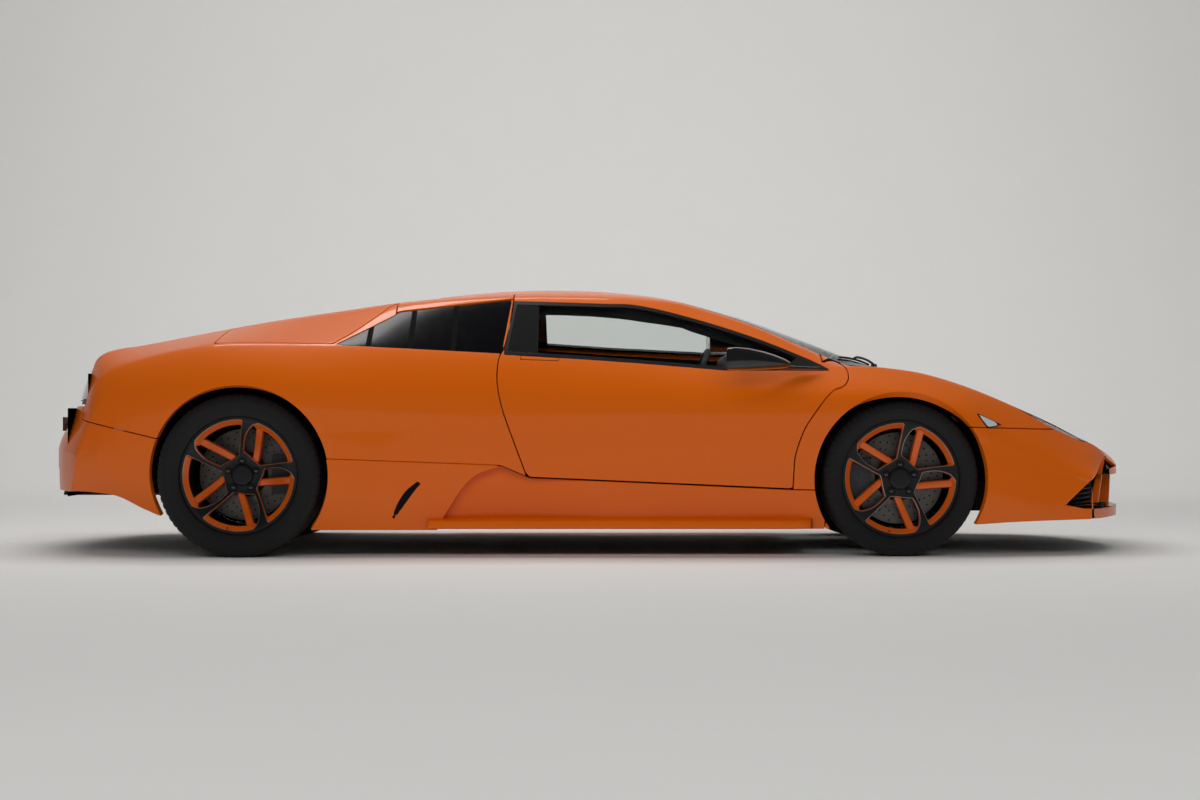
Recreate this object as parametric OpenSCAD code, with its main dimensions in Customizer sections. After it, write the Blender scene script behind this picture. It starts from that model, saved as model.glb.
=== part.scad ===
/* [Overall] */
// Front axle to the tip of the nose
front_overhang = 1040; // [900:5:1250]
// Distance between the axles
wheelbase = 2665; // [2300:5:3200]
// Rear axle to the end of the tail
rear_overhang = 905; // [780:5:1100]
// Width over the rear wings
body_width = 2058; // [1960:2:2480]
// Height of the roof above the road
body_height = 1120; // [1040:5:1350]

/* [Wheels] */
// Distance between the front tyre centres
front_track = 1635; // [1560:1:1680]
// Distance between the rear tyre centres
rear_track = 1695; // [1640:1:1700]
// Width of a front tyre
front_tyre_width = 245; // [200:1:255]
// Diameter of a front tyre
front_tyre_diameter = 629; // [560:1:650]
// Width of a rear tyre
rear_tyre_width = 335; // [270:1:340]
// Diameter of a rear tyre
rear_tyre_diameter = 658; // [580:1:680]
// Diameter of the rims over their lips
rim_diameter = 500; // [420:1:520]
// Pitch circle of the wheel nuts
wheel_nut_circle = 120; // [100:1:130]
// Diameter of the brake discs
brake_disc_diameter = 375; // [300:1:390]
// Room between a tyre and the edge of its arch
arch_gap = 38; // [34:1:60]

/* [Panels] */
// Thickness of the outer panels
panel_thickness = 22; // [15:1:35]
// Thickness of a whole door below the window
door_thickness = 95; // [60:1:120]
// Thickness of a door around its window
door_frame_thickness = 36; // [25:1:50]
// Gap between neighbouring panels
panel_gap = 6; // [5.5:0.5:9]
// Thickness of the glass
glass_thickness = 5; // [3:0.5:8]

/* [Cabin] */
// Width of one seat
seat_width = 480; // [400:5:520]
// Diameter of the steering wheel
steering_wheel_diameter = 360; // [320:5:400]
// Width of the engine block
engine_width = 620; // [400:10:700]

/* [Fixings] */
// Radius of a jacking pad
jack_pad_radius = 35; // [20:1:45]
// Distance between the two number plate holes
plate_hole_spacing = 280; // [150:5:340]
// Radius of a number plate hole
plate_hole_radius = 3; // [2:0.25:5]

/* [Hidden] */

// The shapes below are drawn for these sizes and stretched to the driving ones.
drawn_front_overhang = 1040;
drawn_wheelbase = 2665;
drawn_rear_overhang = 905;
drawn_width = 2058;
drawn_height = 1120;
drawn_front_axle = 1265;
drawn_rear_axle = drawn_front_axle - drawn_wheelbase;
drawn_nose = drawn_front_axle + drawn_front_overhang;
drawn_tail = drawn_rear_axle - drawn_rear_overhang;

body_length = front_overhang + wheelbase + rear_overhang;
front_axle_x = body_length / 2 - front_overhang;
rear_axle_x = front_axle_x - wheelbase;
front_hub_z = front_tyre_diameter / 2;
rear_hub_z = rear_tyre_diameter / 2;
front_arch_radius = front_hub_z + arch_gap;
rear_arch_radius = rear_hub_z + arch_gap - 3;
far = 3000;

paint = [0.76, 0.33, 0.06];
black = [0.06, 0.06, 0.065];
dark_glass = [0.08, 0.09, 0.1, 0.6];
steel = [0.5, 0.5, 0.52];

// ---- Stretching the drawn shapes to the driving sizes ----
function to_x(x) =
    x > drawn_front_axle
        ? front_axle_x + (x - drawn_front_axle) * front_overhang / drawn_front_overhang
        : x > drawn_rear_axle
            ? rear_axle_x + (x - drawn_rear_axle) * wheelbase / drawn_wheelbase
            : rear_axle_x + (x - drawn_rear_axle) * rear_overhang / drawn_rear_overhang;
function to_y(y) = y * body_width / drawn_width;
function to_z(z) = z * body_height / drawn_height;
function to_body(p) = [to_x(p[0]), to_y(p[1]), to_z(p[2])];
function plan_points(list) = [for (p = list) [to_x(p[0]), to_y(p[1])]];
function side_points(list) = [for (p = list) [to_x(p[0]), to_z(p[1])]];

// ---- Smooth curves through knots ----
// Slope of the curve at knot i of a list of [place, value]
function knot_slope(list, i) =
    let (before = list[max(i - 1, 0)], after = list[min(i + 1, len(list) - 1)])
    (after[1] - before[1]) / (after[0] - before[0]);
function span_of(list, x, i = 0) =
    i >= len(list) - 2 || x < list[i + 1][0] ? i : span_of(list, x, i + 1);
// Cubic curve through the knots, at x
function curve_at(list, x) =
    let (
        i = span_of(list, x),
        a = list[i],
        b = list[i + 1],
        step = b[0] - a[0],
        t = min(max((x - a[0]) / step, 0), 1),
        rise_a = knot_slope(list, i) * step,
        rise_b = knot_slope(list, i + 1) * step
    )
    (2 * pow(t, 3) - 3 * t * t + 1) * a[1] + (pow(t, 3) - 2 * t * t + t) * rise_a
        + (3 * t * t - 2 * pow(t, 3)) * b[1] + (pow(t, 3) - t * t) * rise_b;
// Smooth line through points in the plane, with some steps between each pair
function smooth_line(points, steps = 4) = [
    for (i = [0 : len(points) - 2])
        let (
            p0 = points[max(i - 1, 0)],
            p1 = points[i],
            p2 = points[i + 1],
            p3 = points[min(i + 2, len(points) - 1)]
        )
        for (s = [0 : steps - (i == len(points) - 2 ? 0 : 1)])
            let (t = s / steps)
            0.5 * (2 * p1 + (p2 - p0) * t + (2 * p0 - 5 * p1 + 4 * p2 - p3) * t * t
                + (3 * p1 - p0 - 3 * p2 + p3) * pow(t, 3))
];
function mirrored(points) = [for (i = [len(points) - 1 : -1 : 0]) [points[i][0], -points[i][1]]];

// ---- The body's lengthwise curves: [place along the car, height or half width] ----
// Centre line of the roof, glass, deck and bonnet
top_z = [[-2305, 430], [-2285, 485], [-2235, 560], [-2195, 660], [-2155, 755], [-2105, 825],
    [-2040, 855], [-1900, 878], [-1650, 927], [-1350, 985], [-1000, 1040], [-700, 1080],
    [-400, 1111], [-150, 1120], [100, 1110], [350, 1078], [650, 1000], [950, 893], [1230, 785],
    [1400, 735], [1650, 668], [1900, 585], [2100, 495], [2230, 430], [2285, 392], [2305, 362]];
// Rail: edge of the deck, the roof, the windscreen and the bonnet
rail_y = [[-2305, 560], [-2150, 610], [-1950, 590], [-1650, 560], [-1300, 540], [-800, 535],
    [-350, 535], [50, 530], [300, 505], [450, 505], [670, 575], [905, 660], [1063, 705],
    [1265, 640], [1600, 600], [1850, 570], [2080, 500], [2230, 420], [2305, 330]];
rail_z = [[-2305, 425], [-2285, 475], [-2235, 550], [-2195, 645], [-2155, 735], [-2105, 805],
    [-2040, 836], [-1900, 858], [-1650, 903], [-1350, 955], [-1000, 1004], [-780, 1034],
    [-350, 1062], [50, 1060], [250, 1050], [400, 1030], [670, 945], [905, 842], [1063, 778],
    [1265, 742], [1600, 670], [1850, 590], [2080, 490], [2230, 418], [2305, 355]];
// Belt: foot of the side glass, shoulder crease and crown of the front wing
belt_y = [[-2305, 760], [-2150, 830], [-1950, 862], [-1650, 888], [-1400, 892], [-1035, 868],
    [-780, 855], [-350, 842], [0, 836], [400, 832], [800, 825], [1063, 812], [1265, 805],
    [1600, 790], [1850, 740], [2080, 650], [2230, 560], [2305, 470]];
belt_z = [[-2305, 415], [-2285, 460], [-2235, 530], [-2195, 600], [-2140, 690], [-2080, 735],
    [-1950, 778], [-1650, 836], [-1450, 857], [-1035, 850], [-780, 840], [-350, 818],
    [0, 798], [213, 785], [563, 763], [800, 757], [1000, 763], [1150, 768], [1300, 754],
    [1400, 738], [1560, 700], [1730, 651], [1900, 592], [2040, 538], [2160, 480],
    [2250, 430], [2305, 350]];
// Waist: widest line of the upper side
waist_y = [[-2305, 850], [-2150, 895], [-1950, 950], [-1700, 1000], [-1450, 1027], [-1250, 1026],
    [-1035, 1005], [-780, 968], [-350, 938], [0, 932], [400, 934], [800, 948], [1063, 962],
    [1265, 972], [1600, 950], [1850, 895], [2080, 830], [2305, 760]];
waist_z = [[-2305, 405], [-2235, 500], [-2150, 590], [-2050, 640], [-1900, 668], [-1400, 705],
    [-1035, 690], [-350, 665], [400, 640], [800, 640], [1063, 650], [1265, 650], [1600, 590],
    [1850, 500], [2080, 420], [2305, 330]];
// Middle of the side
middle_y = [[-2305, 850], [-2150, 905], [-1950, 955], [-1700, 1003], [-1450, 1029], [-1250, 1029],
    [-1035, 1012], [-780, 975], [-350, 943], [0, 934], [400, 934], [800, 950], [1063, 966],
    [1265, 977], [1600, 962], [1850, 918], [2080, 862], [2305, 790]];
middle_z = [[-2305, 375], [-2100, 440], [-1950, 480], [-1400, 500], [0, 480], [1265, 480],
    [1600, 450], [1850, 400], [2080, 340], [2305, 280]];
// Lower side
lower_y = [[-2305, 830], [-2150, 885], [-1950, 940], [-1400, 1012], [-1035, 1000], [-600, 940],
    [-350, 925], [400, 912], [800, 928], [1063, 948], [1265, 962], [1600, 966], [1850, 930],
    [2080, 880], [2305, 800]];
lower_z = [[-2305, 320], [-2100, 330], [-1700, 285], [-1400, 270], [1600, 265], [1850, 250],
    [2080, 230], [2305, 220]];
// Bottom edge
bottom_y = [[-2305, 790], [-2150, 840], [-1950, 900], [-1400, 975], [-1035, 965], [-600, 925],
    [-350, 910], [400, 898], [800, 905], [1265, 935], [1600, 952], [1850, 925], [2080, 880],
    [2305, 800]];
bottom_z = [[-2305, 262], [-2150, 258], [-2000, 243], [-1850, 192], [-1740, 160], [-1400, 118],
    [-1035, 112], [800, 112], [1265, 116], [1620, 130], [1950, 142], [2305, 148]];
// How far the sides fall back from the centre line, at the full half width
fall_back = [[-2305, 320], [-2200, 240], [-2100, 170], [-1800, 60], [-1500, 0], [1200, 0], [1500, -60],
    [1900, -230], [2200, -370], [2305, -400]];

// Key points of half a section at drawn place u, from the top centre to the bottom centre
function section_keys(u) =
    let (
        rail = curve_at(rail_y, u),
        top = curve_at(top_z, u),
        edge = curve_at(rail_z, u),
        foot = [curve_at(bottom_y, u), curve_at(bottom_z, u)]
    )
    [[0, top], [rail * 0.55, top + (edge - top) * 0.33], [rail, edge],
        [curve_at(belt_y, u), curve_at(belt_z, u)],
        [curve_at(waist_y, u), curve_at(waist_z, u)],
        [curve_at(middle_y, u), curve_at(middle_z, u)],
        [curve_at(lower_y, u), curve_at(lower_z, u)],
        foot, [foot[0] - 60, foot[1] - 2], [0, foot[1] - 2]];
// How round the section is at each key: 0 is a corner, 1 is smooth
key_roundness = [1, 1, 0.45, 0.45, 1, 1, 0.8, 0, 0, 0];
// Steps between each key and the next
key_steps = [2, 2, 3, 4, 2, 2, 2, 1, 1];
section_spans = len(key_steps);
function key_tangent(keys, i) =
    i == 0 ? [keys[1][0], 0]
        : let (a = keys[i - 1], b = keys[min(i + 1, section_spans)])
        key_roundness[i] * (b - a) / 2;
function section_points(u) =
    let (keys = section_keys(u))
    [for (i = [0 : section_spans - 1])
        for (s = [0 : key_steps[i] - 1])
            let (
                t = s / key_steps[i],
                m0 = key_tangent(keys, i),
                m1 = key_tangent(keys, i + 1)
            )
            (2 * pow(t, 3) - 3 * t * t + 1) * keys[i] + (pow(t, 3) - 2 * t * t + t) * m0
                + (3 * t * t - 2 * pow(t, 3)) * keys[i + 1] + (pow(t, 3) - t * t) * m1,
        keys[section_spans]];
// The same section moved inwards by some thickness
function inset_section(points, inset) =
    inset == 0 ? points
        : let (last = len(points) - 1)
        [for (i = [0 : last])
            let (
                along = points[min(i + 1, last)] - points[max(i - 1, 0)],
                size = norm(along),
                inwards = [along[1], -along[0]] / size,
                moved = points[i] + inwards * inset
            )
            i == 0 || i == last ? [0, points[i][1] + (i == 0 ? -inset : inset)]
                : [max(moved[0], 1), moved[1]]];
stations = [-2304, -2285, -2255, -2225, -2195, -2165, -2130, -2090, -2040, -1970, -1880, -1780,
    -1670, -1550, -1430, -1310, -1190, -1070, -950, -830, -710, -590, -470, -350, -230, -110,
    10, 130, 240, 340, 430, 540, 650, 760, 870, 970, 1060, 1150, 1240, 1330, 1430, 1530, 1630,
    1730, 1830, 1920, 2000, 2080, 2150, 2210, 2255, 2285, 2304];

fall_backs = [for (u = stations) curve_at(fall_back, u)];
sections = [for (u = stations) section_points(u)];

// One point of the surface, moved to the driving sizes; side is -1 on the car's right
function surface_point(u, fall, p, side) =
    to_body([u + fall * pow(p[0] * 2 / drawn_width, 2), side * p[0], p[1]]);
// Sheet of the body's surface between two stations and two places round the section.
// A sheet with a first place of 0 and both_halves set runs across the centre line.
module sheet(from, to, first, last, thickness, depth = 0, across = false) {
    kept = [for (s = [0 : len(stations) - 1]) if (stations[s] >= from && stations[s] <= to) s];
    rows = [for (s = kept) let (
        outer = inset_section(sections[s], depth),
        inner = inset_section(sections[s], depth + thickness),
        places = across
            ? concat([for (i = [last : -1 : 1]) [i, 1]], [for (i = [0 : last]) [i, -1]])
            : [for (i = [first : last]) [i, -1]])
        [for (face = [outer, inner])
            [for (p = places) surface_point(stations[s], fall_backs[s], face[p[0]], p[1])]]];
    n = len(rows[0][0]);
    m = len(rows);
    under = n * m;
    points = concat([for (row = rows) each row[0]], [for (row = rows) each row[1]]);
    quads = concat(
        [for (r = [0 : m - 2]) for (i = [0 : n - 2]) let (a = r * n + i)
            each [[a, a + 1, a + n + 1], [a, a + n + 1, a + n],
                [under + a, under + a + n + 1, under + a + 1],
                [under + a, under + a + n, under + a + n + 1]]],
        [for (r = [0 : m - 2]) for (e = [0, 1]) let (
                a = r * n + (e == 0 ? 0 : n - 1), b = a + n)
            each e == 0 ? [[a, b, under + b], [a, under + b, under + a]]
                : [[b, a, under + a], [b, under + a, under + b]]],
        [for (i = [0 : n - 2]) for (e = [0, 1]) let (
                a = i + (e == 0 ? 0 : (m - 1) * n), b = a + 1)
            each e == 0 ? [[b, a, under + a], [b, under + a, under + b]]
                : [[a, b, under + b], [a, under + b, under + a]]]);
    polyhedron(points, [for (q = quads) [q[0], q[2], q[1]]]);
}
// Everything above or below an outline drawn from above
module plan_cut(outline, grow = 0, bottom = 300) {
    translate([0, 0, to_z(bottom)])
        linear_extrude(height = far) offset(delta = grow) polygon(plan_points(outline));
}
// Everything on one side of the car behind an outline drawn from the side
module side_cut(outline, grow = 0, inner = 0) {
    translate([0, -to_y(inner), 0])
        rotate([90, 0, 0])
            linear_extrude(height = far) offset(delta = grow) polygon(side_points(outline));
}
module both_sides() {
    children();
    mirror([0, 1, 0]) children();
}
module left_of() {
    mirror([0, 1, 0]) children();
}

// ---- Outlines seen from the side: [place along the car, height] ----
door_pivot = [1000, 738];
door_corner_radius = 60;
door_rear_line = smooth_line([[-312, 1300], [-312, 1060], [-336, 870], [-362, 800], [-366, 709],
    [-350, 618], [-321, 527], [-245, 321]]);
door_front_line = concat(smooth_line([[829, 273], [833, 353], [838, 410], [869, 503],
    [905, 565], [960, 640], [1000, 678]]), [for (a = [-75 : 13.25 : 138])
    door_pivot + door_corner_radius * [cos(a), sin(a)]]);
door_outline = concat(door_rear_line, [[829, 273]], door_front_line, [[956, 1300]]);
door_window = smooth_line([[-312, 1051], [50, 1040], [218, 1032], [461, 972], [705, 890],
    [905, 805], [985, 762]]);
door_window_outline = concat(door_window, [[990, 752], [563, 752], [213, 781], [0, 796],
    [-345, 816]]);
quarter_window_outline = [[-1030, 858], [-785, 1000], [-318, 1054], [-350, 822]];
skirt_top = [[-1400, 398], [-1032, 395], [-352, 368], [-235, 318], [830, 270], [960, 268]];
skirt_outline = concat(skirt_top, [[960, 0], [-1400, 0]]);
rear_bumper_outline = [[-2600, 620], [-2240, 585], [-2063, 552], [-1700, 470], [-1700, 0], [-2600, 0]];
front_bumper_outline = [[1500, 524], [1970, 512], [2110, 478], [2205, 430], [2500, 380],
    [2500, 0], [1500, 0]];

cabin_side_outline = concat([[700, 0]], door_front_line, [[956, 1300], [700, 1300]]);
quarter_outline = concat(door_rear_line, [[-245, 0], [-2600, 0], [-2600, 1300]]);
below_roof_outline = [[-2000, 0], [-2000, 700], [-1042, 862], [-785, 1004], [-318, 1058],
    [-290, 1060], [-290, 0]];
nose_intake_outline = [[2174, 405], [1942, 204], [2036, 186], [2400, 200], [2400, 330]];
scoop_outline = [[-1010, 385], [-352, 356], [-459, 322], [-543, 224], [-597, 134], [-1040, 118]];

// ---- Outlines seen from above: [place along the car, distance from the centre line] ----
windscreen_side = [[395, -438], [560, -492], [760, -568], [950, -640], [1068, -690]];
windscreen_foot = smooth_line([[1068, -690], [1150, -560], [1225, -330], [1252, 0],
    [1225, 330], [1150, 560], [1068, 690]]);
windscreen_head = smooth_line([[395, 438], [425, 220], [435, 0], [425, -220], [395, -438]]);
windscreen_outline = concat(windscreen_side, windscreen_foot, mirrored(windscreen_side),
    windscreen_head);
bonnet_hinge_x = 1300;
bonnet_outline = concat([[bonnet_hinge_x, 590], [bonnet_hinge_x, -590]],
    smooth_line([[1550, -580], [1850, -520], [2060, -430], [2190, -290], [2240, 0],
    [2190, 290], [2060, 430], [1850, 520], [1550, 580]]));
cowl_outline = [[1085, -700], [bonnet_hinge_x - 8, -640], [bonnet_hinge_x - 8, 640], [1085, 700]];
headlamp_outline = smooth_line([[1640, -742], [1850, -632], [2075, -478], [2115, -510],
    [2060, -606], [1850, -712], [1640, -742]], 3);
roof_outline = concat(windscreen_head, [[200, -455], [-312, -455], [-312, -900], [-800, -900],
    [-800, 900], [-312, 900], [-312, 455], [200, 455]]);
rear_window_outline = [[-640, -380], [-640, 380], [-770, 400], [-770, -400]];
engine_hinge_x = -800;
engine_lid_outline = [[engine_hinge_x, -490], [engine_hinge_x, 490], [-1500, 530],
    [-1930, 560], [-1930, -560], [-1500, -530]];
spoiler_outline = [[-1930, -620], [-1930, 620], [-2062, 640], [-2062, -640]];
intake_flap_outline = [[-800, -496], [-1036, -846], [-1250, -862], [-1519, -868], [-1500, -536]];
// The side panels keep outside this line over the cabin
cabin_side_line = concat([[-312, -455], [200, -455]], windscreen_side);
door_plan_outline = concat(cabin_side_line, [[1400, -690], [1400, -1300], [-600, -1300],
    [-600, -455]]);

// ---- Body panels, all drawn for the right-hand side ----
half_gap = panel_gap / 2;
module arch_cut(axle_x, hub_z, radius) {
    translate([axle_x, 0, hub_z])
        rotate([90, 0, 0])
            cylinder(h = far, r = radius, $fn = 96);
}
module front_arch() {
    arch_cut(front_axle_x, front_hub_z, front_arch_radius);
}
module rear_arch() {
    arch_cut(rear_axle_x, rear_hub_z, rear_arch_radius);
}
// Upright band that closes the nose or the tail, along its bowed front edge
function bow_at(place, fall, y) = to_x(place + fall * pow(y * 2 / drawn_width, 2));
module end_band(place, fall, half_width, depth, bottom, top) {
    steps = 12;
    ys = [for (k = [-steps : steps]) k * half_width / steps];
    outer = [for (y = ys) [bow_at(place, fall, y), to_y(y)]];
    inner = [for (k = [len(ys) - 1 : -1 : 0]) [outer[k][0] - depth, outer[k][1]]];
    translate([0, 0, to_z(bottom)])
        linear_extrude(height = to_z(top) - to_z(bottom)) polygon(concat(outer, inner));
}
nose_fall = -400;
tail_fall = 185;
module front_bumper_side() {
    difference() {
        intersection() {
            sheet(1430, 2305, 3, 17, panel_thickness);
            side_cut(front_bumper_outline, -half_gap);
        }
        front_arch();
        plan_cut(bonnet_outline, half_gap, 380);
        plan_cut(headlamp_outline, half_gap);
        side_cut(nose_intake_outline, 0, 300);
    }
}
module front_bumper() {
    color(paint) {
        both_sides() front_bumper_side();
        // upper lip, splitter and the three uprights between the air intakes
        end_band(drawn_nose, nose_fall, 330, 40, 322, 352);
        end_band(drawn_nose, nose_fall, 800, 150, 150, 182);
        for (y = [-660, -250, 250, 660])
            translate([bow_at(2290, nose_fall, y) - 40, to_y(y) - 14, to_z(170)])
                cube([36, 28, to_z(160)]);
    }
}
module bonnet() {
    color(paint) intersection() {
        sheet(1240, 2305, 0, 8, panel_thickness, 0, true);
        plan_cut(bonnet_outline, -half_gap, 380);
    }
}
module fender() {
    difference() {
        sheet(760, 2200, 3, 17, panel_thickness);
        side_cut(cabin_side_outline, half_gap + 2);
        // room for the edge of the door as it starts to lift
        drawn_box([940, -790, 786], [974, -600, 900]);
        side_cut(skirt_outline, half_gap);
        side_cut(front_bumper_outline, half_gap);
        front_arch();
        plan_cut(bonnet_outline, half_gap);
        plan_cut(cowl_outline, half_gap);
        plan_cut(windscreen_outline, half_gap);
        plan_cut(headlamp_outline, half_gap);
    }
}
module front_fender_right() {
    color(paint) fender();
}
module front_fender_left() {
    color(paint) left_of() fender();
}
module headlamps() {
    color([0.85, 0.87, 0.9]) both_sides() intersection() {
        sheet(1580, 2230, 3, 9, panel_thickness);
        plan_cut(headlamp_outline, -half_gap);
    }
}
module cowl() {
    color(black) difference() {
        intersection() {
            sheet(970, 1340, 0, 8, panel_thickness, 2, true);
            plan_cut(cowl_outline, -half_gap);
        }
        plan_cut(windscreen_outline, half_gap);
    }
}
module windscreen() {
    color(dark_glass) intersection() {
        sheet(330, 1340, 0, 7, glass_thickness, 0, true);
        plan_cut(windscreen_outline, -half_gap - 3, 500);
    }
}
module roof() {
    color(paint) difference() {
        intersection() {
            sheet(-950, 450, 0, 9, panel_thickness, 0, true);
            plan_cut(roof_outline, -half_gap, 700);
        }
        both_sides() side_cut(below_roof_outline, 0, 400);
        plan_cut(rear_window_outline, 1);
    }
}
module rear_window() {
    color(dark_glass) intersection() {
        sheet(-850, -580, 0, 5, glass_thickness, 3, true);
        plan_cut(rear_window_outline, 0, 700);
    }
}
module door_shape() {
    difference() {
        intersection() {
            union() {
                sheet(-470, 1150, 2, 17, door_frame_thickness);
                // inner half of the door below its window
                intersection() {
                    sheet(-470, 1060, 8, 16, door_thickness - door_frame_thickness + 6,
                        door_frame_thickness - 6);
                    side_cut([[-600, 0], [-600, 800], [-340, 800], [0, 780], [213, 765],
                        [563, 738], [940, 736], [940, 600], [820, 400], [800, 0]]);
                }
            }
            side_cut(door_outline, -half_gap);
            plan_cut(door_plan_outline, -half_gap, 0);
        }
        side_cut(skirt_outline, half_gap);
        side_cut(door_window_outline, 0, 400);
        // the foot of the pillar is thin, so that it passes over the windscreen as the door lifts
        intersection() {
            sheet(870, 1150, 1, 6, 60, 14);
            plan_cut([[860, -540], [1180, -620], [1180, -810], [880, -810], [860, -690]], 0, 500);
        }
    }
}
module door_right() {
    color(paint) door_shape();
}
module door_left() {
    color(paint) left_of() door_shape();
}
module door_glass() {
    intersection() {
        sheet(-470, 1060, 4, 10, glass_thickness, 4);
        side_cut(door_window_outline, -0.2, 400);
        side_cut(door_outline, -half_gap);
    }
}
module door_glass_right() {
    color(dark_glass) door_glass();
}
module door_glass_left() {
    color(dark_glass) left_of() door_glass();
}
valance_half_width = 690;
module valance_box(grow = 0) {
    translate([to_x(drawn_tail) - 1, -to_y(valance_half_width) - grow, 0])
        cube([to_x(-2088) - to_x(drawn_tail) + grow, 2 * (to_y(valance_half_width) + grow),
            to_z(612) + grow - half_gap]);
}
module quarter() {
    difference() {
        intersection() {
            sheet(-2230, -230, 3, 17, panel_thickness);
            side_cut(quarter_outline, -half_gap);
        }
        side_cut(skirt_outline, half_gap);
        side_cut(rear_bumper_outline, half_gap);
        side_cut(quarter_window_outline, 0, 400);
        rear_arch();
        plan_cut(engine_lid_outline, half_gap);
        plan_cut(intake_flap_outline, half_gap);
        plan_cut(spoiler_outline, half_gap, 740);
        tail_opening(half_gap);
        // the roof and the valance of the rear bumper
        difference() {
            plan_cut(roof_outline, half_gap, 700);
            side_cut(below_roof_outline, -half_gap);
        }
        valance_box(half_gap);
        // room for the spoiler's rear edge as it lifts
        translate([to_x(-2085), -to_y(648), to_z(760)])
            cube([to_x(-2050) - to_x(-2085), 2 * to_y(648), 200]);
    }
}
module rear_quarter_right() {
    color(paint) quarter();
}
module rear_quarter_left() {
    color(paint) left_of() quarter();
}
module quarter_glass() {
    color(dark_glass) both_sides() intersection() {
        sheet(-1100, -300, 4, 9, glass_thickness, 3);
        side_cut(quarter_window_outline, -0.2, 400);
    }
}
// Opening in the tail that holds the lamps
module tail_opening(grow = 0) {
    translate([to_x(-2060) - far, -far, to_z(612)])
        cube([far + grow, 2 * far, to_z(150) + grow]);
}
module tail_lamps() {
    color([0.3, 0.04, 0.03]) difference() {
        intersection() {
            sheet(-2250, -1990, 0, 11, panel_thickness, 4, true);
            tail_opening(-half_gap);
        }
        plan_cut(spoiler_outline, half_gap, 740);
    }
}
module rear_bumper_side() {
    difference() {
        intersection() {
            sheet(-2305, -1600, 9, 17, panel_thickness);
            side_cut(rear_bumper_outline, -half_gap);
        }
        rear_arch();
        tail_opening(half_gap);
    }
}
module rear_bumper() {
    color(paint) difference() {
        union() {
            both_sides() rear_bumper_side();
            // upper valance between the wings, and the bowed band below it
            intersection() {
                sheet(-2305, -2080, 0, 10, panel_thickness, 0, true);
                valance_box();
            }
            end_band(drawn_tail, tail_fall, 800, -60, 268, 420);
        }
        translate([to_x(drawn_tail) - 1, -exhaust_half_width - 12, to_z(290)])
            cube([400, 2 * exhaust_half_width + 24, to_z(110)]);
        plate_posts(plate_post_radius + 0.3);
    }
}
exhaust_half_width = 110;
module exhaust() {
    color(steel) difference() {
        union() {
            for (y = [-60, 60])
                translate([to_x(-2290), y, to_z(348)]) rotate([0, 90, 0])
                    cylinder(h = 150, r = 46, $fn = 48);
            drawn_box([-2145, -380, 300], [-1850, 380, 460]);
        }
        for (y = [-60, 60])
            translate([to_x(-2290) - 1, y, to_z(348)])
                rotate([0, 90, 0]) cylinder(h = 400, r = 42, $fn = 48);
    }
}
module engine_lid() {
    color(paint) intersection() {
        sheet(-1990, -700, 0, 6, panel_thickness, 0, true);
        plan_cut(engine_lid_outline, -half_gap, 700);
    }
}
module rear_spoiler() {
    color(paint) difference() {
        intersection() {
            sheet(-2140, -1870, 0, 7, panel_thickness, 0, true);
            plan_cut(spoiler_outline, -half_gap, 700);
        }
        tail_opening(half_gap);
    }
}
module intake_flap() {
    intersection() {
        sheet(-1600, -700, 3, 9, panel_thickness);
        plan_cut(intake_flap_outline, -half_gap, 700);
    }
}
module intake_flap_right() {
    color(paint) intake_flap();
}
module intake_flap_left() {
    color(paint) left_of() intake_flap();
}

// ---- Side skirts with the big scoop in front of each rear wheel ----
module side_skirt() {
    difference() {
        intersection() {
            union() {
                sheet(-1320, 1000, 13, 17, 60);
                // sill ledge
                translate([to_x(-620), -to_y(985), to_z(112)])
                    cube([to_x(905) - to_x(-620), to_y(110), to_z(34)]);
                // scoop in front of the rear wheel
                translate([0, -to_y(940), 0]) rotate([90, 0, 0])
                    linear_extrude(height = to_y(50)) polygon(side_points(scoop_outline));
            }
            side_cut(skirt_outline, -half_gap);
        }
        rear_arch();
        front_arch();
    }
}
module side_skirts() {
    color(paint) both_sides() side_skirt();
}

// ---- Fixed structure ----
module cabin_frame() {
    outer = door_frame_thickness + panel_gap;
    color(black) {
        both_sides() intersection() {
            sheet(-470, 1120, 2, 7, 30, outer);
            plan_cut([[-440, -380], [395, -380], [930, -581], [930, -681], [395, -520],
                [-320, -520], [-320, -840], [-440, -840]], 0, 700);
        }
        intersection() {
            sheet(-480, -340, 0, 4, 30, outer, true);
            plan_cut([[-440, -400], [-440, 400], [-380, 400], [-380, -400]], 0, 700);
        }
        // foot of each windscreen pillar
        for (side = [-1, 1])
            scale([1, side, 1]) drawn_box([900, 570, 690], [925, 605, 795]);
        intersection() {
            sheet(330, 470, 0, 4, 30, outer, true);
            plan_cut([[360, -400], [360, 400], [410, 400], [410, -400]], 0, 700);
        }
    }
}
module box(from, to) {
    translate(from) cube(to - from);
}
module drawn_box(from, to) {
    box(to_body(from), to_body(to));
}
jack_pad_depth = 12;
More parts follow.
